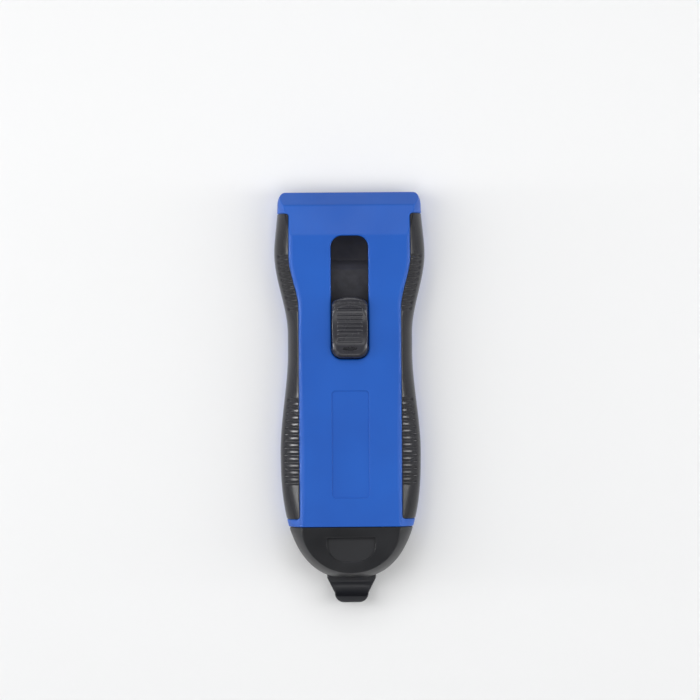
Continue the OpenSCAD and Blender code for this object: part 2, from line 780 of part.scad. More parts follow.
// One razor blade strip with its edge at d, its middle at height z
module strip(d, z) {
  notch_d = d + blade_d - notch_back;
  deep = blade_d - fold_t - fold_gap;
  difference() {
    translate([0, 0, z - blade_t / 2]) linear_extrude(blade_t) difference() {
      translate([-blade_l / 2, at(d + deep)]) square([blade_l, deep]);
      for (s = [-1, 1]) translate([s * (blade_l / 2 - notch_deep + notch_w / 2), at(notch_d)]) {
        circle(d = notch_w);
        translate([s > 0 ? 0 : -notch_w, -notch_w / 2]) square([notch_w, notch_w]);
      }
    }
    for (s = [-1, 1])
      bar([
        [d - past, z], [d, z + s * edge_t / 2], [d + bevel_d, z + s * blade_t / 2],
        [d + bevel_d, z + s], [d - past, z + s]
      ], -blade_l, blade_l);
  }
}

// Folded spine of one razor blade
module spine(d, z) {
  h = spine_t / 2;
  g = blade_t / 2 + fold_gap;
  back = d + blade_d;
  front = back - spine_d;
  bar([
    [front, z + g], [front, z + h - fold_lead / 2], [front + fold_lead, z + h],
    [back - fold_round, z + h], [back, z + h - fold_t], [back, z - h + fold_t],
    [back - fold_round, z - h], [front + fold_lead, z - h], [front, z - h + fold_lead / 2],
    [front, z - g], [back - fold_t, z - g], [back - fold_t, z + g]
  ], spine_in - blade_l / 2, blade_l / 2 - spine_in);
}

module blade() {
  color(steel) strip(edge_d, blade_z);
}

module blade_spine() {
  color(steel) spine(edge_d, blade_z);
}

// A spare lies lengthwise in the tray, every other one turned round
module stored(i) {
  y = at(well_d + tray_well / 2);
  z = well_z + seat_gap / 2 + (i - 0.5) * (spine_t + seat_gap);
  translate([0, y, z]) rotate([0, 0, i % 2 == 0 ? 90 : -90]) translate([0, -at(blade_d / 2), 0])
    children();
}

module spare_blade(i) {
  color(steel) stored(i) strip(0, 0);
}

module spare_spine(i) {
  color(steel) stored(i) spine(0, 0);
}

// Right half of the button outline from front to back, inset by e
function button_half(e, z) =
  let (
    c = button_d + front_r,
    rise = sqrt(pow(front_r - front_corner, 2) - pow(button_hw - front_corner, 2)),
    turn = atan2(button_hw - front_corner, rise)
  )
  concat(
    [for (i = [1:8]) let (a = turn * i / 8) [(front_r - e) * sin(a), at(c - (front_r - e) * cos(a)), z]],
    [for (i = [1:4]) let (a = turn + (90 - turn) * i / 4, r = front_corner - e)
      [button_hw - front_corner + r * sin(a), at(c - rise - r * cos(a)), z]],
    [for (a = [0:15:90]) let (r = button_r - e)
      [button_hw - button_r + r * cos(a), at(button_d + button_l - button_r + r * sin(a)), z]]
  );
function button_loop(e, z) = mirrored(button_half(e, z));

// Drop of the rounded top edge of the button at a distance e inside it
function edge_drop(e) =
  e < button_edge ? button_edge - sqrt(pow(button_edge, 2) - pow(button_edge - e, 2)) : 0;

module slide_button() {
  top = body_h + button_rise;
  dish_d = button_mid + dish_back;
  dish_z = top + dish_r - dish_deep;
  rib_l = 2 * (button_hw - button_edge - 2 * seat_gap);
  ring_d = button_d + ring_in + ring_r + 2 * ring_pitch;
  rounding = [for (a = [0:30:90]) [top, 0] + button_edge * [sin(a) - 1, 1 - cos(a)]];
  color(black) union() {
    difference() {
      loft([for (s = concat([[flange_z, 0]], rounding)) button_loop(s[1], s[0])]);
      translate([0, at(dish_d), dish_z]) rotate([0, 90, 0])
        cylinder(r = dish_r, h = 2 * slot_w, center = true, $fn = 96);
      for (i = [0:2])
        translate([0, at(ring_d), top + seat_gap - edge_drop(ring_in + (2 - i) * ring_pitch)])
          rotate_extrude() translate([ring_r + i * ring_pitch, 0]) circle(r = ring_groove, $fn = 16);
      translate([0, at(button_d + lip_in), top + 2 * seat_gap]) rotate([0, 90, 0])
        cylinder(r = lip_groove, h = rib_l, center = true, $fn = 24);
      translate([0, at(button_d + button_l - mark_in), top - mark_deep])
        linear_extrude(past) scale([1, mark_l / mark_w]) circle(d = mark_w);
    }
    for (i = [0:dish_ribs - 1]) {
      a = (i - (dish_ribs - 1) / 2) * rib_pitch / dish_r * 180 / PI;
      translate([0, at(dish_d + dish_r * sin(a)), dish_z - dish_r * cos(a) + rib_h - rib_r])
        rotate([0, 90, 0]) cylinder(r = rib_r, h = rib_l, center = true, $fn = 16);
    }
    pair(button_hw - past, flange_hw, stem_d, stem_d + stem_l, flange_z, flange_z + flange_t);
    block(-stem_w / 2, stem_w / 2, stem_d, stem_d + stem_l, deck_z - deck_t - stem_below, flange_z + lap);
  }
}

// Plan of the pull tab
module tab_plan() {
  polygon([
    [-tab_w / 2, at(tray_end - past)], [tab_w / 2, at(tray_end - past)], [tab_w / 2, at(cap_end)],
    for (a = [0:15:90])
      [tab_end_w / 2 - tab_r + tab_r * cos(a), at(total_l - tab_r + tab_r * sin(a))],
    for (a = [90:-15:0])
      [tab_r - tab_end_w / 2 - tab_r * cos(a), at(total_l - tab_r + tab_r * sin(a))],
    [-tab_w / 2, at(cap_end)]
  ]);
}

module storage_tray() {
  tab_z = tray_z + tab_t;
  lip_z = tab_z + tab_lip;
  color(black) union() {
    difference() {
      block(-tray_hw, tray_hw, tray_d, tray_end, tray_z, tray_top);
      for (well = [
        [tray_d - past, tray_d + tray_keep],
        [well_d, well_d + tray_well],
        [body_l + tray_wall, tray_end - tray_wall]
      ])
        block(tray_wall - tray_hw, tray_hw - tray_wall, well[0], well[1], well_z, tray_top + past);
    }
    intersection() {
      translate([0, 0, tray_z]) linear_extrude(body_h) tab_plan();
      difference() {
        bar([
          [tray_end - past, tray_z], [tray_end - past, tab_z],
          [total_l - tab_lip_l - tab_slope_l, tab_z], [total_l - tab_lip_l, lip_z],
          [total_l - tab_break, lip_z], [total_l + lap, lip_z - tab_break - lap],
          [total_l + lap, tray_z + tab_break / 2 + lap], [total_l - tab_break / 2, tray_z]
        ], -tab_w, tab_w);
        translate([0, at(total_l - tab_groove_in), tab_z + tab_groove_r - tab_groove_deep])
          rotate([0, 90, 0])
          cylinder(r = tab_groove_r, h = 2 * tab_w, center = true);
      }
    }
  }
}

// Loop of the end cap at a height, from the joint round the back
cap_as = [for (a = [0:8:88]) a];
function cap_point(a, z) =
  let (
    start = body_l + joint_gap,
    dm = start + (cap_end - start) * sin(a),
    up = z > mid_z,
    de = start + (cap_end - start - cap_edge) * sin(a),
    xe = up ? crown(start) * cos(a) : side(dm) * (1 - under_round / side(start)),
    b = bow(z)
  )
  [xe + (side(dm) - xe) * b, at(de + (dm - de) * b), z];
cap_zs = concat(
  [for (a = [90:-15:30]) mid_z * (1 - sin(a)) + slide_gap * sin(a)],
  [for (a = [0:10:90]) mid_z + (body_h - mid_z) * sin(a)]
);

// Plan of the thumb recess: straight at the front, round at the back
module thumb_plan() {
  d0 = body_l + thumb_from;
  r = thumb_r;
  polygon([
    [-thumb_w / 2, at(d0)],
    for (a = [0:10:90])
      [r - thumb_w / 2 - r * cos(a), at(d0 + thumb_l - r + r * sin(a))],
    for (a = [90:-10:0])
      [thumb_w / 2 - r + r * cos(a), at(d0 + thumb_l - r + r * sin(a))],
    [thumb_w / 2, at(d0)]
  ]);
}

module end_cap() {
  tab_z = tray_z + tab_t;
  tongue_hw = face(body_l) - wall - lap - slide_gap;
  color(black) difference() {
    union() {
      loft([for (z = cap_zs) mirrored([for (a = cap_as) cap_point(a, z)])]);
      pair(tongue_hw - tongue_t, tongue_hw, body_l - tongue_l, body_l + 2 * past,
        tray_top + past, roof_z - slide_gap);
    }
    block(-tray_hw - seat_gap, tray_hw + seat_gap, body_l - past, tray_end + seat_gap,
      tray_z - seat_gap, tray_top + seat_gap);
    block(-tab_w / 2 - seat_gap, tab_w / 2 + seat_gap, tray_end - past, cap_end + past,
      tray_z - seat_gap, tab_z + seat_gap);
    block(tray_wall - tray_hw, tray_hw - tray_wall, body_l - past, cap_end - cap_back - cap_edge,
      tray_top + tray_wall, roof_z - 2 * lap);
    translate([0, at(body_l + thumb_from), body_h - thumb_deep]) rotate([-thumb_tilt, 0, 0])
      translate([0, -at(body_l + thumb_from), 0]) linear_extrude(thumb_deep + past) thumb_plan();
  }
}

top_shell();
bottom_shell();
left_grip();
right_grip();
shell_screws();
blade_carriage();
lock_spring();
blade();
blade_spine();
slide_button();
storage_tray();
end_cap();
for (i = spares) {
  spare_blade(i);
  spare_spine(i);
}
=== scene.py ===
import bmesh
import bpy
import math
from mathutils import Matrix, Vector


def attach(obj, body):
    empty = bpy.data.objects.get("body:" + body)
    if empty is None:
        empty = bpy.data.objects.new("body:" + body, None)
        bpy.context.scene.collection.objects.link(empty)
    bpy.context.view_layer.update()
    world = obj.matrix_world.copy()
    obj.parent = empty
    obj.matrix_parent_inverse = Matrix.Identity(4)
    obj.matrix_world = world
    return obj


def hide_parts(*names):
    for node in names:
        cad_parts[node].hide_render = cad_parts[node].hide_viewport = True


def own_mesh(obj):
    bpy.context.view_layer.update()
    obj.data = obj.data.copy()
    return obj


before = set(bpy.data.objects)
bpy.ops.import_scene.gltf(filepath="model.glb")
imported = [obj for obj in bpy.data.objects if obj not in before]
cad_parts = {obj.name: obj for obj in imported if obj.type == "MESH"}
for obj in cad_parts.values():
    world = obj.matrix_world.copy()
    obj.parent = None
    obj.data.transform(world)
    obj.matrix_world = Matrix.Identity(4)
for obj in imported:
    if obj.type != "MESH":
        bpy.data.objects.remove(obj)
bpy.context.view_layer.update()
scene = bpy.context.scene
scene.view_settings.view_transform = "Standard"
mm = 0.001
tiny = 1e-9
# cutters reach this far past what they cut, in millimetres
past = 1.0
print("frame loaded,", len(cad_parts), "nodes")

# camera, floor and light
stage = {
    "cameraAt": (0.0, 0.0155, 2.018), "cameraTurn": -0.4, "lens": 316.5, "clipStart": 0.01,
    "floorSize": 3.0, "floorShade": (0.89, 0.894, 0.898), "floorRough": 0.9, "floorSpecular": 0.1,
    "worldShade": (1.0, 1.0, 1.0), "worldLevel": 0.30,
}
# broad soft lamps, and two low narrow strips for the gloss of the grips
lamps = {
    "softLeft": {"place": (-0.55, 0.05, 0.60), "aimZ": 0.01, "size": (0.50, 0.70), "power": 2.5},
    "softRight": {"place": (0.60, -0.05, 0.60), "aimZ": 0.01, "size": (0.40, 0.70), "power": 2.0},
    "softFront": {"place": (0.0, 0.60, 0.70), "aimZ": 0.01, "size": (0.60, 0.30), "power": 2.2},
    "softBack": {"place": (0.0, -0.50, 1.00), "aimZ": 0.01, "size": (0.40, 0.40), "power": 1.5},
    "stripLeft": {"place": (-1.05, 0, 0.08), "aimZ": 0.015, "size": (0.12, 0.8), "power": 0.42, "spread": 40},
    "stripRight": {"place": (1.05, 0, 0.08), "aimZ": 0.015, "size": (0.12, 0.8), "power": 0.25, "spread": 40},
}


def addCamera():
    data = bpy.data.cameras.new("photoCamera")
    data.lens = stage["lens"]
    data.clip_start = stage["clipStart"]
    cam = bpy.data.objects.new("photoCamera", data)
    cam.location = stage["cameraAt"]
    cam.rotation_euler = (0, 0, math.radians(stage["cameraTurn"]))
    scene.collection.objects.link(cam)
    scene.camera = cam


def addLamp(name, look):
    data = bpy.data.lights.new(name, "AREA")
    data.shape = "RECTANGLE"
    data.size, data.size_y = look["size"]
    data.energy = look["power"]
    data.spread = math.radians(look.get("spread", 180))
    lamp = bpy.data.objects.new(name, data)
    lamp.location = look["place"]
    aim = lamp.location - Vector((0, 0, look["aimZ"]))
    lamp.rotation_euler = aim.to_track_quat("Z", "Y").to_euler()
    scene.collection.objects.link(lamp)


def addFloor():
    half = stage["floorSize"] / 2
    corners = [(-half, -half, 0), (half, -half, 0), (half, half, 0), (-half, half, 0)]
    mesh = bpy.data.meshes.new("studioFloor")
    mesh.from_pydata(corners, [], [(0, 1, 2, 3)])
    floor = bpy.data.objects.new("studioFloor", mesh)
    scene.collection.objects.link(floor)
    mat = bpy.data.materials.new("studioFloor")
    mat.use_nodes = True
    skin = mat.node_tree.nodes["Principled BSDF"]
    skin.inputs["Base Color"].default_value = (*stage["floorShade"], 1)
    skin.inputs["Roughness"].default_value = stage["floorRough"]
    skin.inputs["Specular IOR Level"].default_value = stage["floorSpecular"]
    mesh.materials.append(mat)


def addWorld():
    world = bpy.data.worlds.new("studioAir")
    world.use_nodes = True
    air = world.node_tree.nodes["Background"]
    air.inputs["Color"].default_value = (*stage["worldShade"], 1)
    air.inputs["Strength"].default_value = stage["worldLevel"]
    scene.world = world


addCamera()
addFloor()
for lampName, lampLook in lamps.items():
    addLamp(lampName, lampLook)
addWorld()
print("camera, floor and lights placed")

# effects shared by the finishes
effects = {
    "noiseSpan": (0.3, 0.7), "full": (0.0, 1.0),
    "grain": 3500.0, "grainDetail": 3, "grainRough": 0.6, "flow": 60.0, "flowDetail": 2, "flowRough": 0.5,
    "edgeFrom": 0.52, "edgeTo": 0.60, "break": 500.0, "breakDetail": 4, "breakRough": 0.5,
    "breakSpan": (0.35, 0.65), "breakLevel": (0.35, 1.0),
    "smudge": 120.0, "steelSmudge": 220.0, "smudgeDetail": 5, "smudgeRough": 0.6, "smudgeLevel": (0.3, 0.4),
    "grind": (60.0, 9000.0, 9000.0), "grindDetail": 4, "grindRough": 0.65, "grindDeep": 3e-5,
}


def srgb(r, g, b):
    def lin(c):
        c = c / 255
        return c / 12.92 if c <= 0.04045 else ((c + 0.055) / 1.055) ** 2.4
    return (lin(r), lin(g), lin(b), 1.0)


def newGroup(name, inputs, outputs):
    tree = bpy.data.node_groups.new(name, "ShaderNodeTree")
    for label, value in inputs.items():
        kind = "NodeSocketVector" if isinstance(value, tuple) else "NodeSocketFloat"
        tree.interface.new_socket(label, in_out="INPUT", socket_type=kind).default_value = value
    for label in outputs:
        tree.interface.new_socket(label, in_out="OUTPUT", socket_type="NodeSocketFloat")
    return tree, tree.nodes.new("NodeGroupInput"), tree.nodes.new("NodeGroupOutput")


# links another node's socket, or sets a plain value
def feed(tree, value, socket):
    if hasattr(value, "links"):
        tree.links.new(value, socket)
    else:
        socket.default_value = value


def multiply(tree, a, b):
    node = tree.nodes.new("ShaderNodeMath")
    node.operation = "MULTIPLY"
    feed(tree, a, node.inputs[0])
    feed(tree, b, node.inputs[1])
    return node.outputs[0]


def noiseNode(tree, scale, detail, roughness, coords):
    node = tree.nodes.new("ShaderNodeTexNoise")
    node.inputs["Detail"].default_value = detail
    node.inputs["Roughness"].default_value = roughness
    feed(tree, scale, node.inputs["Scale"])
    tree.links.new(coords, node.inputs["Vector"])
    return node.outputs["Fac"]


def objectCoords(tree):
    return tree.nodes.new("ShaderNodeTexCoord").outputs["Object"]


def remap(tree, value, span, level):
    node = tree.nodes.new("ShaderNodeMapRange")
    tree.links.new(value, node.inputs["Value"])
    for label, number in zip(("From Min", "From Max", "To Min", "To Max"), (*span, *level)):
        feed(tree, number, node.inputs[label])
    return node.outputs["Result"]


# fine spark-eroded grain of a moulded face, with slow flow marks
def makeMouldGrain():
    e = effects
    tree, start, end = newGroup(
        "mouldGrain", {"Grain Scale": e["grain"], "Flow Scale": e["flow"]}, ("Height", "Flow"))
    coords = objectCoords(tree)
    fine = noiseNode(tree, start.outputs["Grain Scale"], e["grainDetail"], e["grainRough"], coords)
    slow = noiseNode(tree, start.outputs["Flow Scale"], e["flowDetail"], e["flowRough"], coords)
    tree.links.new(fine, end.inputs["Height"])
    tree.links.new(remap(tree, slow, e["noiseSpan"], e["full"]), end.inputs["Flow"])
    return tree


# mask of convex edges, broken up by noise: rubbed wear that is also a painted edge highlight
def makeEdgeRubAndHighlight():
    e = effects
    tree, start, end = newGroup(
        "edgeRubAndHighlight", {"From": e["edgeFrom"], "To": e["edgeTo"], "Break Scale": e["break"]}, ("Mask",))
    point = tree.nodes.new("ShaderNodeNewGeometry").outputs["Pointiness"]
    edge = remap(tree, point, (start.outputs["From"], start.outputs["To"]), e["full"])
    coords = objectCoords(tree)
    broken = noiseNode(tree, start.outputs["Break Scale"], e["breakDetail"], e["breakRough"], coords)
    patches = remap(tree, broken, e["breakSpan"], e["breakLevel"])
    tree.links.new(multiply(tree, edge, patches), end.inputs["Mask"])
    return tree


# smudges from handling, used for roughness
def makeSmudge():
    e = effects
    low, high = e["smudgeLevel"]
    tree, start, end = newGroup(
        "handSmudge", {"Scale": e["smudge"], "Low": low, "High": high}, ("Roughness",))
    coords = objectCoords(tree)
    cloud = noiseNode(tree, start.outputs["Scale"], e["smudgeDetail"], e["smudgeRough"], coords)
    level = remap(tree, cloud, e["noiseSpan"], (start.outputs["Low"], start.outputs["High"]))
    tree.links.new(level, end.inputs["Roughness"])
    return tree


# fine parallel grinding lines across a steel face
def makeGrindLines():
    e = effects
    tree, start, end = newGroup("grindLines", {"Along": e["grind"]}, ("Height", "Shade"))
    stretch = tree.nodes.new("ShaderNodeVectorMath")
    stretch.operation = "MULTIPLY"
    tree.links.new(objectCoords(tree), stretch.inputs[0])
    tree.links.new(start.outputs["Along"], stretch.inputs[1])
    lines = noiseNode(tree, 1.0, e["grindDetail"], e["grindRough"], stretch.outputs[0])
    tree.links.new(lines, end.inputs["Height"])
    tree.links.new(remap(tree, lines, e["noiseSpan"], e["full"]), end.inputs["Shade"])
    return tree


groups = {
    "grain": makeMouldGrain(),
    "rubAndHighlight": makeEdgeRubAndHighlight(),
    "smudge": makeSmudge(),
    "grind": makeGrindLines(),
}


def useGroup(tree, group, values=None):
    node = tree.nodes.new("ShaderNodeGroup")
    node.node_tree = groups[group]
    for label, value in (values or {}).items():
        node.inputs[label].default_value = value
    return node


def mixColour(tree, fac, a, b):
    node = tree.nodes.new("ShaderNodeMix")
    node.data_type = "RGBA"
    tree.links.new(fac, node.inputs["Factor"])
    feed(tree, a, node.inputs["A"])
    feed(tree, b, node.inputs["B"])
    return node.outputs["Result"]


def bumpNode(tree, height, strength, distance):
    node = tree.nodes.new("ShaderNodeBump")
    node.inputs["Strength"].default_value = strength
    node.inputs["Distance"].default_value = distance
    tree.links.new(height, node.inputs["Height"])
    return node.outputs["Normal"]


def newFinish(name):
    mat = bpy.data.materials.new(name)
    mat.use_nodes = True
    return mat, mat.node_tree, mat.node_tree.nodes["Principled BSDF"]


# moulded plastic or rubber, paler on its convex edges: partly rubbed wear, partly a painted edge highlight
def moulded(name, look):
    mat, tree, skin = newFinish(name)
    grain = useGroup(tree, "grain", {"Grain Scale": look["grain"], "Flow Scale": look["flow"]})
    rubAndHighlight = useGroup(tree, "rubAndHighlight")
    smudge = useGroup(tree, "smudge", {"Low": look["smooth"], "High": look["rough"]})
    body = mixColour(tree, grain.outputs["Flow"], srgb(*look["deep"]), srgb(*look["pale"]))
    wornAndHighlight = multiply(tree, rubAndHighlight.outputs["Mask"], look["rubAndHighlight"])
    bump = bumpNode(tree, grain.outputs["Height"], look["bump"], look["grainDeep"])
    # the paler edge colour on convex edges is rubbed wear and also a painted highlight
    tree.links.new(mixColour(tree, wornAndHighlight, body, srgb(*look["edge"])), skin.inputs["Base Color"])
    tree.links.new(smudge.outputs["Roughness"], skin.inputs["Roughness"])
    tree.links.new(bump, skin.inputs["Normal"])
    skin.inputs["Specular IOR Level"].default_value = look["specular"]
    return mat


# ground or drawn steel
def ground(name, look):
    mat, tree, skin = newFinish(name)
    lines = useGroup(tree, "grind", {"Along": look["along"]})
    smudge = useGroup(tree, "smudge", {
        "Low": look["smooth"], "High": look["rough"], "Scale": effects["steelSmudge"]})
    shades = mixColour(tree, lines.outputs["Shade"], srgb(*look["deep"]), srgb(*look["pale"]))
    bump = bumpNode(tree, lines.outputs["Height"], look["bump"], effects["grindDeep"])
    tree.links.new(shades, skin.inputs["Base Color"])
    tree.links.new(smudge.outputs["Roughness"], skin.inputs["Roughness"])
    tree.links.new(bump, skin.inputs["Normal"])
    skin.inputs["Metallic"].default_value = 1.0
    return mat


# each edge colour goes on convex edges as rubbed wear and also as a painted edge highlight
plastics = {
    "housingBlue": {
        "deep": (11, 82, 178), "pale": (16, 89, 187), "edge": (80, 128, 212), "rubAndHighlight": 0.25, "specular": 0.38,
        "smooth": 0.43, "rough": 0.51, "grain": 4200, "flow": 45, "bump": 0.10, "grainDeep": 4e-5},
    "gripRubber": {
        "deep": (27, 27, 31), "pale": (33, 33, 39), "edge": (88, 88, 96), "rubAndHighlight": 0.3, "specular": 0.22,
        "smooth": 0.17, "rough": 0.23, "grain": 2600, "flow": 90, "bump": 0.10, "grainDeep": 4e-5},
    "slideBlack": {
        "deep": (37, 37, 42), "pale": (44, 44, 50), "edge": (84, 84, 92), "rubAndHighlight": 0.3, "specular": 0.38,
        "smooth": 0.40, "rough": 0.52, "grain": 3600, "flow": 80, "bump": 0.14, "grainDeep": 5e-5},
    # paler copy of the slide's black for the ramp and clamp in the slot's shade: painted light
    "slideFrontPaintedLight": {
        "deep": (64, 64, 71), "pale": (72, 72, 80), "edge": (92, 92, 100), "rubAndHighlight": 0.3, "specular": 0.38,
        "smooth": 0.44, "rough": 0.56, "grain": 3000, "flow": 80, "bump": 0.14, "grainDeep": 5e-5},
    "buttonBlack": {
        "deep": (40, 40, 46), "pale": (48, 48, 54), "edge": (100, 100, 108), "rubAndHighlight": 0.4, "specular": 0.42,
        "smooth": 0.24, "rough": 0.32, "grain": 3800, "flow": 120, "bump": 0.10, "grainDeep": 4e-5},
    "drawerBlack": {
        "deep": (30, 31, 36), "pale": (37, 38, 43), "edge": (78, 80, 88), "rubAndHighlight": 0.3, "specular": 0.36,
        "smooth": 0.34, "rough": 0.46, "grain": 3600, "flow": 70, "bump": 0.12, "grainDeep": 5e-5},
    "capBlack": {
        "deep": (19, 20, 23), "pale": (25, 26, 30), "edge": (74, 76, 84), "rubAndHighlight": 0.25, "specular": 0.36,
        "smooth": 0.30, "rough": 0.42, "grain": 3800, "flow": 60, "bump": 0.12, "grainDeep": 4e-5},
    "capRecess": {
        "deep": (22, 23, 27), "pale": (29, 30, 34), "edge": (64, 66, 74), "rubAndHighlight": 0.2, "specular": 0.4,
        "smooth": 0.46, "rough": 0.56, "grain": 2200, "flow": 60, "bump": 0.20, "grainDeep": 6e-5},
}
steels = {
    "bladeSteel": {
        "deep": (176, 180, 186), "pale": (214, 217, 221), "along": (9000, 70, 9000),
        "smooth": 0.20, "rough": 0.25, "bump": 0.10},
    "spareSteel": {
        "deep": (176, 180, 186), "pale": (214, 217, 221), "along": (70, 9000, 9000),
        "smooth": 0.20, "rough": 0.25, "bump": 0.10},
    "spineSteel": {
        "deep": (150, 153, 158), "pale": (190, 193, 198), "along": (90, 5000, 5000),
        "smooth": 0.24, "rough": 0.40, "bump": 0.10},
    "screwZinc": {
        "deep": (160, 163, 168), "pale": (200, 203, 206), "along": (2500, 2500, 400),
        "smooth": 0.22, "rough": 0.38, "bump": 0.12},
    "springSteel": {
        "deep": (140, 142, 146), "pale": (184, 187, 192), "along": (5000, 120, 5000),
        "smooth": 0.22, "rough": 0.36, "bump": 0.08},
}
finishes = {name: moulded(name, look) for name, look in plastics.items()}
finishes.update({name: ground(name, look) for name, look in steels.items()})
print("finishes made:", len(finishes))


# mesh tools, with all sizes in millimetres
def newPiece(name, verts, faces):
    mesh = bpy.data.meshes.new(name)
    mesh.from_pydata([(x * mm, y * mm, z * mm) for x, y, z in verts], [], faces)
    obj = bpy.data.objects.new(name, mesh)
    scene.collection.objects.link(obj)
    weld(obj)
    return obj


# joins points that meet, drops collapsed faces and turns the rest outwards
def weld(obj, gap=0.004):
    bm = bmesh.new()
    bm.from_mesh(obj.data)
    bmesh.ops.remove_doubles(bm, verts=bm.verts, dist=gap * mm)
    bmesh.ops.dissolve_degenerate(bm, edges=bm.edges, dist=gap * mm)
    bmesh.ops.recalc_face_normals(bm, faces=bm.faces)
    bm.to_mesh(obj.data)
    bm.free()


# skin over rings of equal length, closed at both ends
def skinOver(name, rings):
    n = len(rings[0])
    verts = [p for ring in rings for p in ring]
    faces = []
    for j in range(len(rings) - 1):
        for i in range(n):
            k = (i + 1) % n
            faces.append((j * n + i, j * n + k, (j + 1) * n + k, (j + 1) * n + i))
    faces.append(tuple(range(n - 1, -1, -1)))
    faces.append(tuple((len(rings) - 1) * n + i for i in range(n)))
    return newPiece(name, verts, faces)


def box(name, x0, x1, d0, d1, z0, z1):
    low = [(x0, at(d0), z0), (x1, at(d0), z0), (x1, at(d1), z0), (x0, at(d1), z0)]
    return skinOver(name, [low, [(x, y, z1) for x, y, z in low]])


# turned piece with an upright axis and a profile of (radius, z) points
def turned(name, x, d, profile, steps=48):
    turns = [2 * math.pi * i / steps for i in range(steps)]
    rings = [[(x + r * math.cos(a), at(d) + r * math.sin(a), z) for a in turns] for r, z in profile]
    return skinOver(name, rings)


def combine(obj, others, operation="DIFFERENCE"):
    for other in others:
        mod = obj.modifiers.new("shape", "BOOLEAN")
        mod.operation = operation
        mod.solver = "EXACT"
        mod.object = other
    bpy.context.view_layer.update()
    made = bpy.data.meshes.new_from_object(obj.evaluated_get(bpy.context.evaluated_depsgraph_get()))
    obj.modifiers.clear()
    old = obj.data
    obj.data = made
    bpy.data.meshes.remove(old)
    for other in others:
        mesh = other.data
        bpy.data.objects.remove(other)
        bpy.data.meshes.remove(mesh)


def bevelled(obj, width, angle=35, segments=2):
    mod = obj.modifiers.new("edgeBreak", "BEVEL")
    mod.width = width * mm
    mod.segments = segments
    mod.limit_method = "ANGLE"
    mod.angle_limit = math.radians(angle)


def shade(obj, finish, sharp=38):
    obj.data.materials.clear()
    obj.data.materials.append(finishes[finish])
    obj.data.shade_smooth()
    obj.data.set_sharp_from_angle(angle=math.radians(sharp))
    even = obj.modifiers.new("evenShading", "WEIGHTED_NORMAL")
    even.keep_sharp = True


def dress(obj, finish, body, nodes=(), sharp=38):
    shade(obj, finish, sharp)
    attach(obj, body)
    if nodes:
        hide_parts(*nodes)


# drop of a rounded edge of radius r at a distance e inside it
def rounding(e, r):
    if e >= r:
        return 0.0
    e = max(e, 0.0)
    return r - math.sqrt(max(0.0, r * r - (r - e) ** 2))


# least of two values, with the corner between them rounded over a width k
def softMin(a, b, k):
    h = max(k - abs(a - b), 0.0) / k
    return min(a, b) - h * h * k / 4


def softMax(a, b, k):
    return -softMin(-a, -b, k)


def ease(t):
    t = max(0.0, min(1.0, t))
    return t * t * (3 - 2 * t)


def blend(a, b, d0, d1, d):
    return a + (b - a) * ease((d - d0) / (d1 - d0))


# even places from a to b, at most a step apart
def spread(a, b, step):
    n = max(1, math.ceil((b - a) / step))
    return [a + (b - a) * i / n for i in range(n + 1)]


def sortedPlaces(ds, digits=4):
    return sorted(set(round(d, digits) for d in ds))


def between(a, b, t):
    return (a[0] + (b[0] - a[0]) * t, a[1] + (b[1] - a[1]) * t)


# distance along a line of (x, z) points at each of them
def runAlong(line):
    run = [0.0]
    for a, b in zip(line, line[1:]):
        run.append(run[-1] + math.hypot(b[0] - a[0], b[1] - a[1]))
    return run


# outside form of the body, shared by the housing, the grips and the end cap
form = {
    "length": 134.0, "bodyL": 109.0, "capEnd": 126.0, "high": 18.0, "wideZ": 8.0, "splitZ": 4.0,
    "noseL": 4.3, "browL": 9.8, "noseH": 8.5, "browH": 15.0,
    "blade": 39.0, "noseCheek": 1.4, "browCheek": 3.9, "headCheek": 5.04, "headD": 20.0,
    "waistW": 40.6, "waistD": 46.0, "waistL": 6.0, "bellyW": 45.8, "bellyD": 84.7, "tailPower": 2.5,
    "headFaceW": 39.6, "backFaceW": 33.4, "faceLead": 1.0, "faceLag": 8.0,
    "sidePower": 2.0, "shoulderPower": 1.05, "underRound": 3.5,
    "gripZ": 17.2, "gripFrom": 7.0, "gripTo": 106.5, "gripCorner": 0.9, "gripT": 1.6,
    "creaseSoft": 0.45, "topSoft": 0.15, "edgeSoft": 0.4,
}


# lengthwise place for a distance d behind the front edge, and back again
def at(d):
    return form["length"] / 2 - d


# half width of the body at its widest height
def sideHw(d):
    f = form
    half = f["blade"] / 2
    if d < f["noseL"]:
        sweep = math.sqrt(max(0, 1 - (1 - d / f["noseL"]) ** 2))
        return half + f["noseCheek"] + (f["browCheek"] - f["noseCheek"]) * sweep
    if d < f["headD"]:
        return half + blend(f["browCheek"], f["headCheek"], f["noseL"], f["headD"], d)
    if d < f["waistD"]:
        return blend(half + f["headCheek"], f["waistW"] / 2, f["headD"], f["waistD"], d)
    if d < f["bellyD"]:
        return blend(f["waistW"] / 2, f["bellyW"] / 2, f["waistD"] + f["waistL"], f["bellyD"], d)
    t = (d - f["bellyD"]) / (f["capEnd"] - f["bellyD"])
    return f["bellyW"] / 2 * max(0.0, 1 - t ** f["tailPower"]) ** (1 / f["tailPower"])


# half width of the blue face between the grips
def faceHw(d):
    f = form
    d0, d1 = f["headD"] + f["faceLead"], f["waistD"] - f["faceLag"]
    return blend(f["headFaceW"], f["backFaceW"], d0, d1, d) / 2


def bow(z):
    f = form
    if z > f["wideZ"]:
        t = (z - f["wideZ"]) / (f["high"] - f["wideZ"])
        return max(0.0, 1 - t ** f["sidePower"]) ** (1 / f["shoulderPower"])
    return math.sqrt(max(0.0, 1 - ((f["wideZ"] - z) / f["wideZ"]) ** 2))


gripBow = bow(form["gripZ"])


def crownHw(d):
    return (faceHw(d) - sideHw(d) * gripBow) / (1 - gripBow)


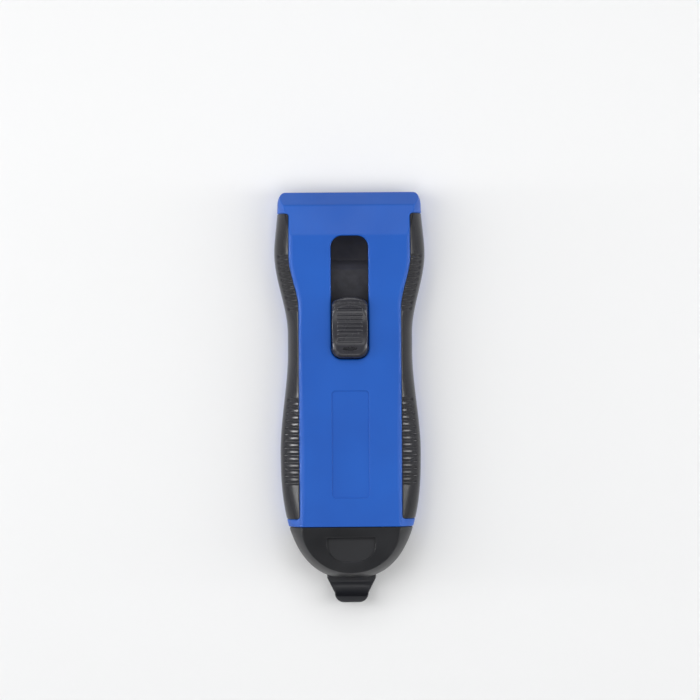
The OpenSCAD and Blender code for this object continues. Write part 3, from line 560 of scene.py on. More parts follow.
def skinX(d, z):
    if z > form["wideZ"]:
        return crownHw(d) + (sideHw(d) - crownHw(d)) * bow(z)
    return sideHw(d) - form["underRound"] * (1 - bow(z))


# height of the skin at a share u of the way from the crown line to the side
def riseAt(u):
    f = form
    signed = math.copysign(abs(u) ** f["shoulderPower"], u)
    return f["wideZ"] + (f["high"] - f["wideZ"]) * max(0.0, 1 - signed) ** (1 / f["sidePower"])


# height of the nose facets and the flat top
def roofAt(d):
    f = form
    nose = f["noseH"] + (f["browH"] - f["noseH"]) * d / f["noseL"]
    brow = f["browH"] + (f["high"] - f["browH"]) * (d - f["noseL"]) / f["browL"]
    return softMin(softMin(nose, brow, f["creaseSoft"]), f["high"], f["topSoft"])


# inner edge of a grip, with its round corners
def gripIn(d):
    e = max(0.0, min(d - form["gripFrom"], form["gripTo"] - d))
    return faceHw(d) + rounding(e, form["gripCorner"])


# upper side from its widest place in to x = inner, as (x, z) points before the nose is cut
def upperSide(d, inner, count, fineSteps=400):
    crown, side = crownHw(d), sideHw(d)
    fine = [side + (inner - side) * ease(i / fineSteps) for i in range(fineSteps + 1)]
    line = [(x, riseAt((x - crown) / (side - crown))) for x in fine]
    run = runAlong(line)
    points, j = [], 0
    for i in range(count + 1):
        goal = run[-1] * i / count
        while j < len(run) - 2 and run[j + 1] < goal:
            j += 1
        points.append(between(line[j], line[j + 1], (goal - run[j]) / max(tiny, run[j + 1] - run[j])))
    return points


def mirroredRing(right):
    return right + [(-x, y, z) for x, y, z in reversed(right) if abs(x) > tiny]


# rectangle with round corners, grown by a margin and level at z
def roundLoop(hw, d0, d1, r, z, grow=0.0, steps=10):
    hw, d0, d1, r = hw + grow, d0 - grow, d1 + grow, r + grow
    x, front, back = hw - r, d0 + r, d1 - r
    loop = []
    for cx, cd, a0 in ((x, back, 0), (-x, back, 90), (-x, front, 180), (x, front, 270)):
        for i in range(steps + 1):
            a = math.radians(a0 + 90 * i / steps)
            loop.append((cx + r * math.cos(a), at(cd + r * math.sin(a)), z))
    return loop


# blue housing
housing = {
    "gap": 0.05, "pocketRound": 0.25, "frontRound": 0.35, "backRound": 0.2, "seamRound": 0.16,
    "wall": 1.6, "topWall": 2.2, "floor": 2.0, "shoulderZ": 10.0, "roofZ": 15.8,
    "sideSpare": 0.4, "faceSpare": 0.3, "roofSpare": 0.05,
    "mouthHw": 19.9, "mouthTo": 29.1, "mouthZ": 5.9, "lipRelief": 1.0, "lipL": 5.0, "lipSoft": 0.3,
    "slotHw": 6.1, "slotFrom": 14.3, "slotTo": 54.5, "slotR": 3.7, "slotRound": 0.55, "railZ": 14.4,
    "panelHw": 6.0, "panelFrom": 64.8, "panelTo": 99.6, "panelR": 1.3, "panelDeep": 0.35, "panelRound": 0.2,
    "bossFront": (14.3, 44.15), "bossRear": (15.4, 97.0), "bossR": 2.6, "bossSink": 0.4, "bossGap": 0.02,
    "headR": 2.4, "shankR": 1.3, "headZ": 2.2, "holeEdge": ((0.3, 0.0), (0.1, 0.09), (0.0, 0.3)),
}
pocketFrom = form["gripFrom"] - housing["gap"]
pocketTo = form["gripTo"] + housing["gap"]
# where the housing's skin has its points
shellMesh = {
    "noseSteps": 26, "front": (0.02, 0.05, 0.1, 0.18, 0.27, 0.36), "noseHalf": 0.6, "browHalf": 0.5,
    "crease": 0.1, "slope": 0.3, "long": 0.9, "rearFrom": 0.3, "rear": (0.2, 0.13, 0.08, 0.04, 0.015, 0.0),
    "pocket": (-0.5, -0.25, -0.17, -0.1, -0.05, -0.015, 0.1, 0.25, 0.45, 0.7, 0.95),
    "seam": (0.0, 0.03, 0.08, 0.16), "low": (0.6, 1.2, 1.9, 2.6, 3.3), "upper": 44,
    "edge": (0.0, 0.012, 0.04, 0.09, 0.16, 0.25), "inner": 18, "innerReach": 0.9,
    "flat": (0.75, 0.5, 0.25, 0.0), "baseEdge": 0.97, "under": 18, "underFrom": 31, "underTurn": 59,
    "room": 1.0, "filletStep": 15,
}


def shellStations():
    f, s = form, shellMesh
    browEnd = f["noseL"] + f["browL"]
    n = s["noseSteps"]
    ds = [f["noseL"] * (1 - math.cos(math.radians(90 * i / n))) for i in range(n + 1)]
    ds += s["front"]
    ds += spread(f["noseL"] - s["noseHalf"], f["noseL"] + s["noseHalf"], s["crease"])
    ds += spread(f["noseL"] + s["noseHalf"], browEnd - s["browHalf"], s["slope"])
    ds += spread(browEnd - s["browHalf"], browEnd + s["browHalf"], s["crease"])
    ds += spread(browEnd + s["browHalf"], f["bodyL"] - s["rearFrom"], s["long"])
    ds += [f["bodyL"] - e for e in s["rear"]]
    for end, way in ((pocketFrom, 1), (pocketTo, -1)):
        ds += [end + way * e for e in s["pocket"]]
    return sortedPlaces(ds)


# how far the skin draws in at the front and back edges
def endRounding(d):
    return rounding(d, housing["frontRound"]) + rounding(form["bodyL"] - d, housing["backRound"])


def topSection(d, inPocket):
    f, h, s = form, housing, shellMesh
    end = endRounding(d)
    roof = roofAt(d) - end
    edge = gripIn(min(max(d, pocketFrom), pocketTo)) - h["gap"]
    lip = 0.0 if inPocket else rounding(max(pocketFrom - d, d - pocketTo), h["pocketRound"])
    lowZs = [f["splitZ"] + e for e in s["seam"] + s["low"]]
    right = []
    for x, z in [(skinX(d, z), z) for z in lowZs] + upperSide(d, edge, s["upper"])[:-1]:
        level = softMin(z, roof, f["edgeSoft"])
        if inPocket:
            right.append((max(edge, x - f["gripT"] - h["gap"]) - end, level))
        else:
            seam = rounding(z - f["splitZ"], h["seamRound"])
            right.append((x - seam - end - lip, level - (lip if z > f["wideZ"] else 0)))
    crown, wide = crownHw(d), sideHw(d)
    last = s["edge"][-1]
    reach = edge - (min(crown, edge) - s["innerReach"]) - last
    inner = [*s["edge"]] + [last + reach * i / s["inner"] for i in range(1, s["inner"] + 1)]
    for e in inner:
        x = edge - e
        z = softMin(riseAt((x - crown) / (wide - crown)), roof, f["edgeSoft"])
        drop = rounding(e, h["pocketRound"]) if inPocket else 0.0
        right.append((x - end, z - drop))
    topX, topZ = right[-1]
    right += [(topX * share, topZ) for share in s["flat"]]
    return mirroredRing([(x, at(d), z) for x, z in right])


# hollow of a shell, from z0 up to the roof or just past the parting line
def roomCutter(name, z0, toRoof):
    f, h = form, housing
    rings = []
    for d in spread(h["wall"], f["bodyL"] + past, shellMesh["room"]):
        low = sideHw(min(d, f["bodyL"])) - f["gripT"] - h["wall"] - h["sideSpare"]
        high = faceHw(d) - h["wall"] - h["faceSpare"]
        right = [(0, z0), (low, z0)]
        if toRoof:
            roof = min(h["roofZ"], roofAt(d) - h["topWall"])
            shoulder = min(h["shoulderZ"], roof - h["roofSpare"])
            right += [(low, shoulder), (high, shoulder), (high, roof), (0, roof)]
        else:
            roof = f["splitZ"] + past
            right += [(low, roof), (0, roof)]
        rings.append(mirroredRing([(x, at(d), z) for x, z in right]))
    return skinOver(name, rings)


# sinks a rounded outline from the top face, with a fillet at its edge
def sunkCutter(name, hw, d0, d1, r, bottom, fillet):
    top, step = form["high"], shellMesh["filletStep"]
    rings = [roundLoop(hw, d0, d1, r, bottom), roundLoop(hw, d0, d1, r, top - fillet)]
    for a in range(step, 91, step):
        rise, run = math.sin(math.radians(a)), 1 - math.cos(math.radians(a))
        rings.append(roundLoop(hw, d0, d1, r, top - fillet + fillet * rise, fillet * run))
    rings.append(roundLoop(hw, d0, d1, r, top + past, fillet))
    return skinOver(name, rings)


def mouthCutter(z0, z1):
    h = housing
    return box("mouth", -h["mouthHw"], h["mouthHw"], -2 * past, h["mouthTo"], z0, z1)


def buildTopHousing():
    f, h = form, housing
    rings = [topSection(d, pocketFrom < d < pocketTo) for d in shellStations()]
    # both ends of the pockets get a step, from the full skin to the sunk one
    for end, order in ((pocketFrom, (False, True)), (pocketTo, (True, False))):
        j = next(k for k, ring in enumerate(rings) if ring[0][1] < at(end))
        rings[j:j] = [topSection(end, inPocket) for inPocket in order]
    shell = skinOver("topHousing", rings)
    combine(shell, [
        roomCutter("room", f["splitZ"] - past, True),
        mouthCutter(f["splitZ"] - past, h["mouthZ"]),
        sunkCutter("slot", h["slotHw"], h["slotFrom"], h["slotTo"], h["slotR"],
                   h["railZ"] - past, h["slotRound"]),
        sunkCutter("panel", h["panelHw"], h["panelFrom"], h["panelTo"], h["panelR"],
                   f["high"] - h["panelDeep"], h["panelRound"]),
    ])
    dress(shell, "housingBlue", "housing", ["top_shell"])


def bottomSection(d):
    f, h, s = form, housing, shellMesh
    end = endRounding(d)
    relief = h["lipRelief"] * (1 - d / h["lipL"])
    right = []
    for e in s["seam"]:
        right.append((skinX(d, f["splitZ"] - e) - rounding(e, h["seamRound"]) - end, f["splitZ"] - e))
    for i in range(1, s["under"] + 1):
        a = math.radians(s["underFrom"] + s["underTurn"] * i / s["under"])
        z = f["wideZ"] * (1 - math.sin(a))
        right.append((skinX(d, z) - end, softMax(max(z, end), relief, h["lipSoft"])))
    lastX, lastZ = right[-1]
    right += [(lastX * share, lastZ) for share in (s["baseEdge"], *s["flat"])]
    return mirroredRing([(x, at(d), z) for x, z in right])


def buildBottomHousing():
    f, h = form, housing
    shell = skinOver("bottomHousing", [bottomSection(d) for d in shellStations()])
    combine(shell, [
        roomCutter("room", h["floor"], False),
        mouthCutter(h["floor"], f["splitZ"] + past),
    ])
    post = [(h["bossR"], h["floor"] - h["bossSink"]), (h["bossR"], f["splitZ"] - h["bossGap"])]
    hole = [(h["headR"] + h["holeEdge"][0][0], -past)]
    hole += [(h["headR"] + wider, z) for wider, z in h["holeEdge"]]
    hole += [(h["headR"], h["headZ"]), (h["shankR"], h["headZ"]), (h["shankR"], f["splitZ"] + past)]
    places = [(s * x, d) for x, d in (h["bossFront"], h["bossRear"]) for s in (1, -1)]
    combine(shell, [turned("boss", x, d, post) for x, d in places], "UNION")
    combine(shell, [turned("hole", x, d, hole) for x, d in places])
    dress(shell, "housingBlue", "housing", ["bottom_shell"])


# guides for the slide and the drawer, under the top wall
guides = {
    "railIn": 6.3, "railOut": 9.2, "railFrom": 14.0, "railTo": 55.5, "break": 0.15,
    "holdOut": 10.4, "holdLap": 0.1, "holdFrom": 29.3, "holdTo": 56.5, "deckZ": 11.45,
    "trayIn": 10.5, "trayOut": 11.7, "trayFrom": 59.8, "trayTo": 104.0, "trayZ": 8.3,
}


def buildGuides():
    g, h = guides, housing
    ribs = []
    for s in (-1, 1):
        for x0, x1, d0, d1, z0 in (
            (g["railIn"], g["railOut"], g["railFrom"], g["railTo"], h["railZ"]),
            (g["railOut"] - g["holdLap"], g["holdOut"], g["holdFrom"], g["holdTo"], g["deckZ"]),
            (g["trayIn"], g["trayOut"], g["trayFrom"], g["trayTo"], g["trayZ"]),
        ):
            ribs.append(box("rib", *sorted((s * x0, s * x1)), d0, d1, z0, h["roofZ"]))
    first = ribs.pop(0)
    combine(first, ribs, "UNION")
    first.name = "guideRails"
    bevelled(first, g["break"])
    dress(first, "housingBlue", "housing")


buildTopHousing()
print("top housing made")
buildBottomHousing()
print("bottom housing made")
buildGuides()
print("guide rails made")

# soft side grips, with two fields of flutes
grip = {
    "gap": 0.02, "round": 0.38, "flute": 0.36, "fluteHalf": 0.66,
    "headFrom": 21.0, "headPitch": 1.9, "headCount": 10,
    "bellyMid": 81.2, "bellyPitch": 2.25, "bellyCount": 13,
    "fluteLow": 0.42, "lowFade": 0.12, "fluteHigh": 0.93, "highFade": 0.06, "backDrop": 0.25, "sharp": 50,
}
# where a grip's skin has its points
gripMesh = {
    "rows": 22, "low": (0.0, 0.02, 0.07, 0.15, 0.25, 0.38, 0.9, 1.5, 2.2, 3.0), "back": 8,
    "tip": (0.7, 0.45, 0.25, 0.1, 0.0), "ends": (0.0, 0.02, 0.06, 0.12, 0.2, 0.3, 0.4, 0.55, 0.75, 0.95),
    "endL": 1.0, "around": 0.8, "clear": 0.9, "fluteStep": 0.16, "headStep": 0.5, "waistStep": 0.8,
    "tailStep": 0.6,
}


# first and last place of each field of flutes
def fluteFields():
    g = grip
    half = (g["bellyCount"] - 1) / 2 * g["bellyPitch"]
    headTo = g["headFrom"] + g["headPitch"] * (g["headCount"] - 1)
    return (g["headFrom"], headTo), (g["bellyMid"] - half, g["bellyMid"] + half)


def fluteDepth(d, share):
    g = grip
    deep = 0.0
    head, belly = fluteFields()
    for first, pitch, count in (
        (head[0], g["headPitch"], g["headCount"]), (belly[0], g["bellyPitch"], g["bellyCount"]),
    ):
        i = min(max(round((d - first) / pitch), 0), count - 1)
        off = (d - first - i * pitch) / g["fluteHalf"]
        if abs(off) < 1:
            deep = max(deep, 1 - off * off)
    ends = ease((share - g["fluteLow"]) / g["lowFade"]) * ease((g["fluteHigh"] - share) / g["highFade"])
    return g["flute"] * deep * ends


def gripSection(d, side):
    f, g, s = form, grip, gripMesh
    edge = gripIn(d) + g["gap"]
    z0 = f["splitZ"] + g["gap"]
    upper = upperSide(d, edge, s["rows"])
    line = [(skinX(d, z0 + e), z0 + e) for e in s["low"]]
    line += upper[:-1] + [between(upper[-1], upper[-2], t) for t in s["tip"]]
    run = runAlong(line)
    roof = roofAt(d)
    fromEnd = min(d - f["gripFrom"] - g["gap"], f["gripTo"] - g["gap"] - d)
    ring = []
    for i, (x, z) in enumerate(line):
        a, b = line[max(i - 1, 0)], line[min(i + 1, len(line) - 1)]
        along = math.hypot(b[0] - a[0], b[1] - a[1]) or 1.0
        nx, nz = (b[1] - a[1]) / along, (a[0] - b[0]) / along
        share = (z - f["wideZ"]) / (f["high"] - f["wideZ"])
        near = min(run[i], run[-1] - run[i], fromEnd)
        deep = rounding(near, g["round"]) + fluteDepth(d, share)
        level = roof - (deep if z > roof else 0)
        ring.append((max(edge, x - nx * deep), softMin(z - nz * deep, level, f["edgeSoft"])))
    topZ = ring[-1][1]
    for i in range(s["back"], -1, -1):
        z = z0 + (topZ - g["backDrop"] - z0) * i / s["back"]
        ring.append((max(edge, skinX(d, z) - f["gripT"]), z))
    return [(side * x, at(d), z) for x, z in ring]


def buildGrip(name, side, node):
    f, g, s = form, grip, gripMesh
    (headFrom, headTo), (bellyFrom, bellyTo) = fluteFields()
    ds = [f["gripFrom"] + g["gap"] + e for e in s["ends"]]
    ds += [f["gripTo"] - g["gap"] - e for e in s["ends"]]
    ds += spread(headFrom - s["around"], headTo + s["around"], s["fluteStep"])
    ds += spread(bellyFrom - s["around"], bellyTo + s["around"], s["fluteStep"])
    ds += spread(f["gripFrom"] + s["endL"], headFrom - s["clear"], s["headStep"])
    ds += spread(headTo + s["clear"], bellyFrom - s["clear"], s["waistStep"])
    ds += spread(bellyTo + s["clear"], f["gripTo"] - s["endL"], s["tailStep"])
    rings = [gripSection(d, side) for d in sortedPlaces(ds)]
    dress(skinOver(name, rings), "gripRubber", "housing", [node], g["sharp"])


buildGrip("leftGrip", -1, "left_grip")
buildGrip("rightGrip", 1, "right_grip")
print("grips made")

# thumb button
button = {
    "hw": 5.85, "from": 34.1, "to": 54.2, "corner": 3.4, "frontR": 10.5, "frontCorner": 2.2,
    "top": 21.0, "foot": 13.0, "edge": 1.6, "dishAt": 44.45, "dishR": 16.0, "dishDeep": 1.0, "dishSoft": 0.25,
    "ribs": 8, "ribPitch": 1.25, "ribHigh": 0.26, "ribHalf": 0.42, "ribHw": 4.15, "ribFade": 0.4,
    "ringAt": 47.5, "rings": (10.7, 11.6, 12.5), "ringHalf": 0.34, "ringDeep": 0.2,
    "lipAt": 38.4, "lipHalf": 0.5, "lipDeep": 0.42,
    "markAt": 51.1, "markHw": 2.5, "markHalf": 0.58, "markDeep": 1.0, "markFade": 0.22,
    "stemHw": 4.0, "stemHalf": 5.0, "stemFoot": 8.85, "stemSink": 0.5, "flangeHw": 8.4, "flangeT": 1.2,
    "lap": 0.001, "sharp": 55,
}
# where the button's skin has its points, with the turns in degrees
buttonMesh = {
    "cols": 80, "frontFrom": 4, "frontTurn": 1.2, "frontCornerTurn": 10, "sideStep": 0.08, "cornerTurn": 6,
    "edgeFrom": 80, "edgeTurn": 10,
}


# right half of the level top outline from front to back, as (x, d, outward x, outward d)
def buttonOutline():
    b, s = button, buttonMesh
    e = b["edge"]
    centre = b["from"] + b["frontR"]
    cx = b["hw"] - b["frontCorner"]
    rise = math.sqrt((b["frontR"] - b["frontCorner"]) ** 2 - cx ** 2)
    turn = math.atan2(cx, rise)
    back = b["to"] - b["corner"]
    line = []
    r = b["frontR"] - e
    for a in spread(math.radians(s["frontFrom"]), turn, math.radians(s["frontTurn"])):
        line.append((r * math.sin(a), centre - r * math.cos(a), math.sin(a), -math.cos(a)))
    r = b["frontCorner"] - e
    for a in spread(turn, math.pi / 2, math.radians(s["frontCornerTurn"]))[1:]:
        line.append((cx + r * math.sin(a), centre - rise - r * math.cos(a), math.sin(a), -math.cos(a)))
    for d in spread(centre - rise, back, s["sideStep"])[1:]:
        line.append((b["hw"] - e, d, 1.0, 0.0))
    r = b["corner"] - e
    cx = b["hw"] - b["corner"]
    for a in spread(0, math.pi / 2, math.radians(s["cornerTurn"]))[1:]:
        line.append((cx + r * math.cos(a), back + r * math.sin(a), math.cos(a), math.sin(a)))
    return line


# height of the dished top, with its ribs, grooves and mark
def buttonTop(x, d, inset):
    b = button
    sweep = d - b["dishAt"]
    dish = b["top"] - b["dishDeep"] + b["dishR"] - math.sqrt(b["dishR"] ** 2 - sweep ** 2)
    z = softMin(b["top"] - rounding(inset, b["edge"]), dish, b["dishSoft"])
    middle = (b["ribs"] - 1) / 2
    i = min(max(round(sweep / b["ribPitch"] + middle), 0), b["ribs"] - 1)
    off = (sweep - (i - middle) * b["ribPitch"]) / b["ribHalf"]
    ends = ease((b["ribHw"] - abs(x)) / b["ribFade"])
    if abs(off) < 1:
        z += b["ribHigh"] * math.sqrt(1 - off * off) * ends
    off = (d - b["lipAt"]) / b["lipHalf"]
    if abs(off) < 1:
        z -= b["lipDeep"] * (1 - off * off) * ends
    if d < b["ringAt"]:
        for r in b["rings"]:
            off = (math.hypot(x, d - b["ringAt"]) - r) / b["ringHalf"]
            if abs(off) < 1:
                z -= b["ringDeep"] * (1 - off * off)
    mark = math.hypot(x / b["markHw"], (d - b["markAt"]) / b["markHalf"])
    return z - b["markDeep"] * ease((1 - mark) / b["markFade"])


def buildButton():
    b, s = button, buttonMesh
    line = buttonOutline()
    cols = s["cols"]
    n, count = cols + 1, len(line)
    verts, faces = [], []
    for hw, d, _, _ in line:
        xs = [hw * (2 * i / cols - 1) for i in range(n)]
        verts += [(x, at(d), buttonTop(x, d, b["edge"])) for x in xs]
    for j in range(count - 1):
        for i in range(cols):
            faces.append((j * n + i, j * n + i + 1, (j + 1) * n + i + 1, (j + 1) * n + i))
    # border of the level top with its outward directions, once round
    rim = [(j * n + cols, *line[j]) for j in range(count)]
    hw, d = line[-1][:2]
    rim += [((count - 1) * n + i, hw * (2 * i / cols - 1), d, 0.0, 1.0) for i in range(cols - 1, 0, -1)]
    rim += [(j * n, -line[j][0], line[j][1], -line[j][2], line[j][3]) for j in range(count - 1, -1, -1)]
    hw, d = line[0][:2]
    centre = b["from"] + b["frontR"]
    for i in range(1, cols):
        x = hw * (2 * i / cols - 1)
        long = math.hypot(x, centre - d)
        rim.append((i, x, d, x / long, (d - centre) / long))
    m = len(rim)
    last = [point[0] for point in rim]

    # adds a ring outside the last one, at the foot or at an inset on the rounded edge
    def addRing(last, inset, atFoot):
        start = len(verts)
        for _, x, d, outX, outD in rim:
            px, pd = x + outX * (b["edge"] - inset), d + outD * (b["edge"] - inset)
            verts.append((px, at(pd), b["foot"] if atFoot else buttonTop(px, pd, inset)))
        ring = list(range(start, start + m))
        for i in range(m):
            k = (i + 1) % m
            faces.append((last[i], last[k], ring[k], ring[i]))
        return ring

    for a in range(s["edgeFrom"], -1, -s["edgeTurn"]):
        last = addRing(last, b["edge"] * (1 - math.cos(math.radians(a))), False)
    faces.append(tuple(addRing(last, 0.0, True)))
    cap = newPiece("slideButton", verts, faces)
    mid = (b["from"] + b["to"]) / 2
    combine(cap, [
        box("flange", -b["flangeHw"], b["flangeHw"], mid - b["stemHalf"], mid + b["stemHalf"],
            b["foot"] + b["lap"], b["foot"] + b["flangeT"]),
        box("stem", -b["stemHw"], b["stemHw"], mid - b["stemHalf"] + b["lap"], mid + b["stemHalf"] - b["lap"],
            b["stemFoot"], b["foot"] + b["stemSink"]),
    ], "UNION")
    dress(cap, "buttonBlack", "button", ["slide_button"], b["sharp"])


buildButton()
print("thumb button made")

# end cap
cap = {
    "joint": 0.2, "edge": 2.0, "foot": 0.2, "frontRound": 0.22, "topSoft": 0.3,
    "trayHw": 11.35, "trayTo": 121.05, "trayZ": (2.15, 8.15), "tabHw": 8.05, "tabZ": 4.45,
    "hollowHw": 9.9, "hollowTo": 119.0, "hollowZ": (9.5, 15.2), "roomLead": 5.0,
    "tongueHw": 14.6, "tongueT": 1.6, "tongueZ": (9.1, 15.6), "tongueL": 4.0, "tongueSink": 2.0,
    "thumbFrom": 112.6, "thumbW": 15.6, "thumbL": 7.6, "thumbR": 5.5, "thumbDeep": 1.1, "thumbTilt": 6.0,
    "thumbRound": 0.3, "thumbLift": 0.02, "thumbRise": 0.01, "grainEdge": 0.1,
}
# where the cap's skin has its points, with the turns in degrees
capMesh = {
    "steps": 88, "bunch": 0.35, "lows": (77, 70, 62, 54, 46, 38, 30, 22, 14, 7), "upTo": 84, "upTurn": 4,
    "crown": (0.09, 0.06, 0.035, 0.015, 0.0, -0.015, -0.035, -0.06, -0.1), "thumbSteps": 12, "filletStep": 18,
}


# point at a turn a about the tail, a share u of the way out to the side
def capPoint(a, u, z, upper):
    f, c = form, cap
    start = f["bodyL"] + c["joint"]
    s, co = math.sin(a), abs(math.cos(a))
    dm = start + (f["capEnd"] - start) * s
    de = start + (f["capEnd"] - start - c["edge"]) * s
    wide = sideHw(min(dm, f["capEnd"]))
    inner = crownHw(start) * co if upper else wide * (1 - f["underRound"] / sideHw(start))
    d = de + (dm - de) * u
    end = rounding(d - start, c["frontRound"])
    x = max(0.0, inner + (wide - inner) * u - end)
    return (x if math.cos(a) >= 0 else -x, at(d), min(z, f["high"] - end) if upper else z)


def capColumn(a):
    f, c, s = form, cap, capMesh
    points = []
    lows = [math.radians(x) for x in s["lows"]]
    for b in lows:
        z = f["wideZ"] - (f["wideZ"] - c["foot"]) * math.sin(b) / math.sin(lows[0])
        points.append(capPoint(a, bow(z), z, False))
    for u in [math.cos(math.radians(x)) for x in range(0, s["upTo"], s["upTurn"])] + [*s["crown"]]:
        points.append(capPoint(a, u, softMin(riseAt(u), f["high"], c["topSoft"]), True))
    return points


def thumbFloor(d):
    c = cap
    return form["high"] - c["thumbDeep"] + (d - c["thumbFrom"]) * math.tan(math.radians(c["thumbTilt"]))


# outline of the thumb recess, lifted off its floor and at a least height
def thumbLoop(grow, lift, least):
    c, n = cap, capMesh["thumbSteps"]
    d0, r = c["thumbFrom"], c["thumbR"]
    hw = c["thumbW"] / 2
    loop = [(hw + grow, d0 - grow)]
    for i in range(n + 1):
        a = math.radians(90 * i / n)
        loop.append((hw - r + (r + grow) * math.cos(a), d0 + c["thumbL"] - r + (r + grow) * math.sin(a)))
    loop += [(-x, d) for x, d in reversed(loop)]
    return [(x, at(d), max(thumbFloor(d) + lift, least)) for x, d in loop]


def thumbCutter():
    c, step = cap, capMesh["filletStep"]
    top, r, lift = form["high"], c["thumbRound"], c["thumbLift"]
    rings = [thumbLoop(0.0, 0.0, 0.0), thumbLoop(0.0, lift, top - r)]
    for a in range(step, 91, step):
        rise, run = math.sin(math.radians(a)), 1 - math.cos(math.radians(a))
        rings.append(thumbLoop(r * run, lift + c["thumbRise"] * rise, top - r + r * rise))
    rings.append(thumbLoop(r, lift, top + past))
    return skinOver("thumb", rings)


def buildCap():
    f, c = form, cap
    n, bunch = capMesh["steps"], capMesh["bunch"]
    turns = [math.pi * i / n for i in range(n + 1)]
    columns = [capColumn(math.pi * (0.5 - 0.5 * math.cos(a)) * bunch + a * (1 - bunch)) for a in turns]
    m = len(columns[0])
    verts = [p for column in columns for p in column]
    faces = []
    for j in range(n):
        for i in range(m - 1):
            faces.append((j * m + i, (j + 1) * m + i, (j + 1) * m + i + 1, j * m + i + 1))
    faces.append(tuple(j * m + m - 1 for j in range(n + 1)))
    faces.append(tuple(j * m for j in range(n, -1, -1)))
    faces.append(tuple(range(m)) + tuple(n * m + i for i in range(m - 1, -1, -1)))
    dome = newPiece("endCap", verts, faces)
    tongues = []
    for s in (-1, 1):
        x0, x1 = sorted((s * c["tongueHw"], s * (c["tongueHw"] - c["tongueT"])))
        tongues.append(box(
            "tongue", x0, x1, f["bodyL"] - c["tongueL"], f["bodyL"] + c["tongueSink"], *c["tongueZ"]))
    combine(dome, tongues, "UNION")
    front = f["bodyL"] - c["roomLead"]
    combine(dome, [
        box("trayRoom", -c["trayHw"], c["trayHw"], front, c["trayTo"], *c["trayZ"]),
        box("tabRoom", -c["tabHw"], c["tabHw"], c["trayTo"] - past, f["capEnd"] + past,
            c["trayZ"][0], c["tabZ"]),
        box("hollow", -c["hollowHw"], c["hollowHw"], front, c["hollowTo"], *c["hollowZ"]),
        thumbCutter(),
    ])
    dress(dome, "capBlack", "drawer", ["end_cap"])
    # the floor of the recess has a coarser grain
    dome.data.materials.append(finishes["capRecess"])
    floorZ = f["high"] - c["thumbDeep"]
    for face in dome.data.polygons:
        x, y, z = (v / mm for v in face.center)
        inside = abs(x) < c["thumbW"] / 2 and 0 < at(y) - c["thumbFrom"] < c["thumbL"]
        if inside and floorZ - c["grainEdge"] < z < f["high"] - c["grainEdge"]:
            face.material_index = 1


buildCap()
print("end cap made")

# drawer tray and pull tab
tray = {
    "hw": 11.3, "from": 59.5, "to": 121.0, "z": 2.2, "floorZ": 3.2, "top": 8.1, "wall": 1.4,
    "wells": ((58.5, 67.3), (68.7, 108.5), (110.4, 119.6)), "break": 0.25,
    "tabRoot": 8.0, "tabEnd": 5.5, "tabFrom": 119.9, "tabTop": 4.4, "lipTop": 5.4, "lipSoft": 0.4,
    "rampFrom": 5.5, "rampL": 3.3, "tabCorner": 3.0, "tabRound": 0.55, "endRound": 0.6, "sharp": 60,
    "grooveAt": 129.3, "grooveZ": 6.5, "grooveR": 2.9, "grooveSoft": 0.3,
}
# where the tab's skin has its points
tabMesh = {
    "step": 0.14, "ends": (0.45, 0.32, 0.2, 0.12, 0.06, 0.02, 0.0), "turn": 15, "turns": 6, "half": 0.5,
    "leastGap": 0.01,
}


def tabHw(d):
    t, f = tray, form
    if d <= f["capEnd"]:
        return t["tabRoot"]
    bend = f["length"] - t["tabCorner"]
    if d < bend:
        return t["tabRoot"] + (t["tabEnd"] - t["tabRoot"]) * (d - f["capEnd"]) / (bend - f["capEnd"])
    return t["tabEnd"] - t["tabCorner"] + math.sqrt(max(0.0, t["tabCorner"] ** 2 - (d - bend) ** 2))


def tabTop(d):
    t = tray
    rise = (t["lipTop"] - t["tabTop"]) * (d - form["length"] + t["rampFrom"]) / t["rampL"]
    z = softMin(softMax(t["tabTop"], t["tabTop"] + rise, t["lipSoft"]), t["lipTop"], t["lipSoft"])
    off = d - t["grooveAt"]
    if abs(off) < t["grooveR"]:
        z = softMin(z, t["grooveZ"] - math.sqrt(t["grooveR"] ** 2 - off * off), t["grooveSoft"])
    return z


def tabSection(d):
    t, s = tray, tabMesh
    end = rounding(form["length"] - d, t["endRound"])
    top, low, hw = tabTop(d) - end, t["z"] + end, tabHw(d)
    r = min(t["tabRound"], (top - low) / 2 - s["leastGap"])
    right = [(0.0, low)]
    for cz, a0 in ((low + r, -90), (top - r, 0)):
        for i in range(s["turns"] + 1):
            a = math.radians(a0 + s["turn"] * i)
            right.append((hw - r + r * math.cos(a), cz + r * math.sin(a)))
    right += [(hw * s["half"], top), (0.0, top)]
    return mirroredRing([(x, at(d), z) for x, z in right])


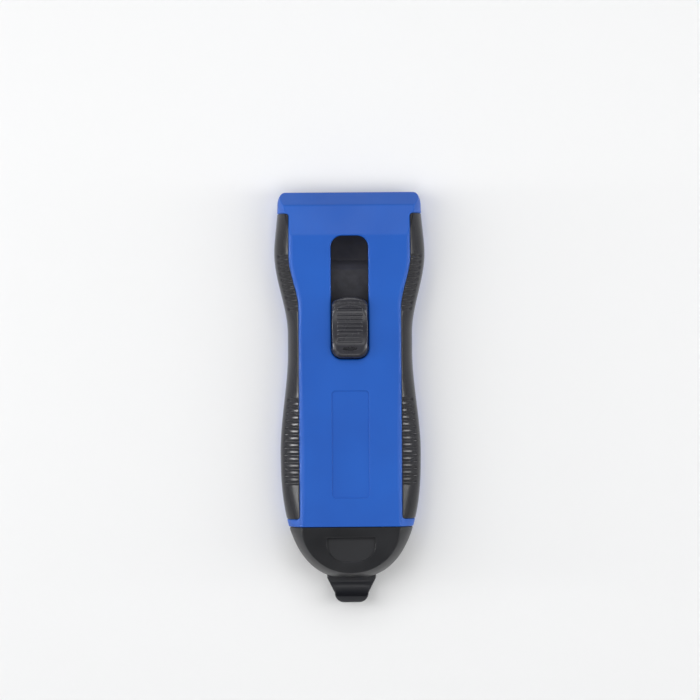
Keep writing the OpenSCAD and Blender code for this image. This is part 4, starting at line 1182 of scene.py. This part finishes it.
def buildTray():
    t, s, length = tray, tabMesh, form["length"]
    body = box("storageTray", -t["hw"], t["hw"], t["from"], t["to"], t["z"], t["top"])
    inner = t["hw"] - t["wall"]
    combine(body, [
        box("well", -inner, inner, d0, d1, t["floorZ"], t["top"] + past) for d0, d1 in t["wells"]])
    bevelled(body, t["break"])
    dress(body, "drawerBlack", "drawer", ["storage_tray"])
    ds = spread(t["tabFrom"], length - t["endRound"], s["step"]) + [length - e for e in s["ends"]]
    tab = skinOver("pullTab", [tabSection(d) for d in ds])
    dress(tab, "drawerBlack", "drawer", ["storage_tray"], t["sharp"])


buildTray()
print("drawer tray and pull tab made")

# leaf of the slide lock, a copy of its solid with a mesh of its own
leaf = {"deckZ": 11.25, "height": 1.75, "press": 1.2, "sharp": 30}


def buildLeaf():
    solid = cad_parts["lock_spring"]
    spring = bpy.data.objects.new("lockLeaf", solid.data.copy())
    spring.matrix_world = solid.matrix_world
    scene.collection.objects.link(spring)
    dress(spring, "springSteel", "slider", ["lock_spring"], leaf["sharp"])
    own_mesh(spring)


buildLeaf()
print("lock leaf made")

# pieces that keep their own solids, each with a finish and the width of its broken edges
kept = {
    "blade_carriage": ("slideBlack", 0.18), "shell_screws": ("screwZinc", 0.12),
    "blade": ("bladeSteel", 0.0), "blade_spine": ("spineSteel", 0.0),
}
keptSharp = 30
spareCount = 4
for i in range(1, spareCount + 1):
    kept["spare_blade_%d" % i] = ("spareSteel", 0.0)
    kept["spare_spine_%d" % i] = ("spineSteel", 0.0)
for node, (finish, width) in kept.items():
    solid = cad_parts[node]
    if width:
        bevelled(solid, width)
    shade(solid, finish, keptSharp)
print("kept solids dressed:", len(kept))

# the ramp and the blade clamp in front of the deck sit deep in the slot's shade; they get a paler copy of the
# slide's black, painted light that lifts that shade
clamp = {"deckZ": 11.0, "upward": 0.3}


def paintClampLight():
    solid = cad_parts["blade_carriage"]
    # faces below the deck that face upwards get the paler black: painted light in the slot's shade
    solid.data.materials.append(finishes["slideFrontPaintedLight"])
    for face in solid.data.polygons:
        if face.normal.z > clamp["upward"] and face.center.z < clamp["deckZ"] * mm:
            face.material_index = 1


paintClampLight()
print("blade clamp dressed")
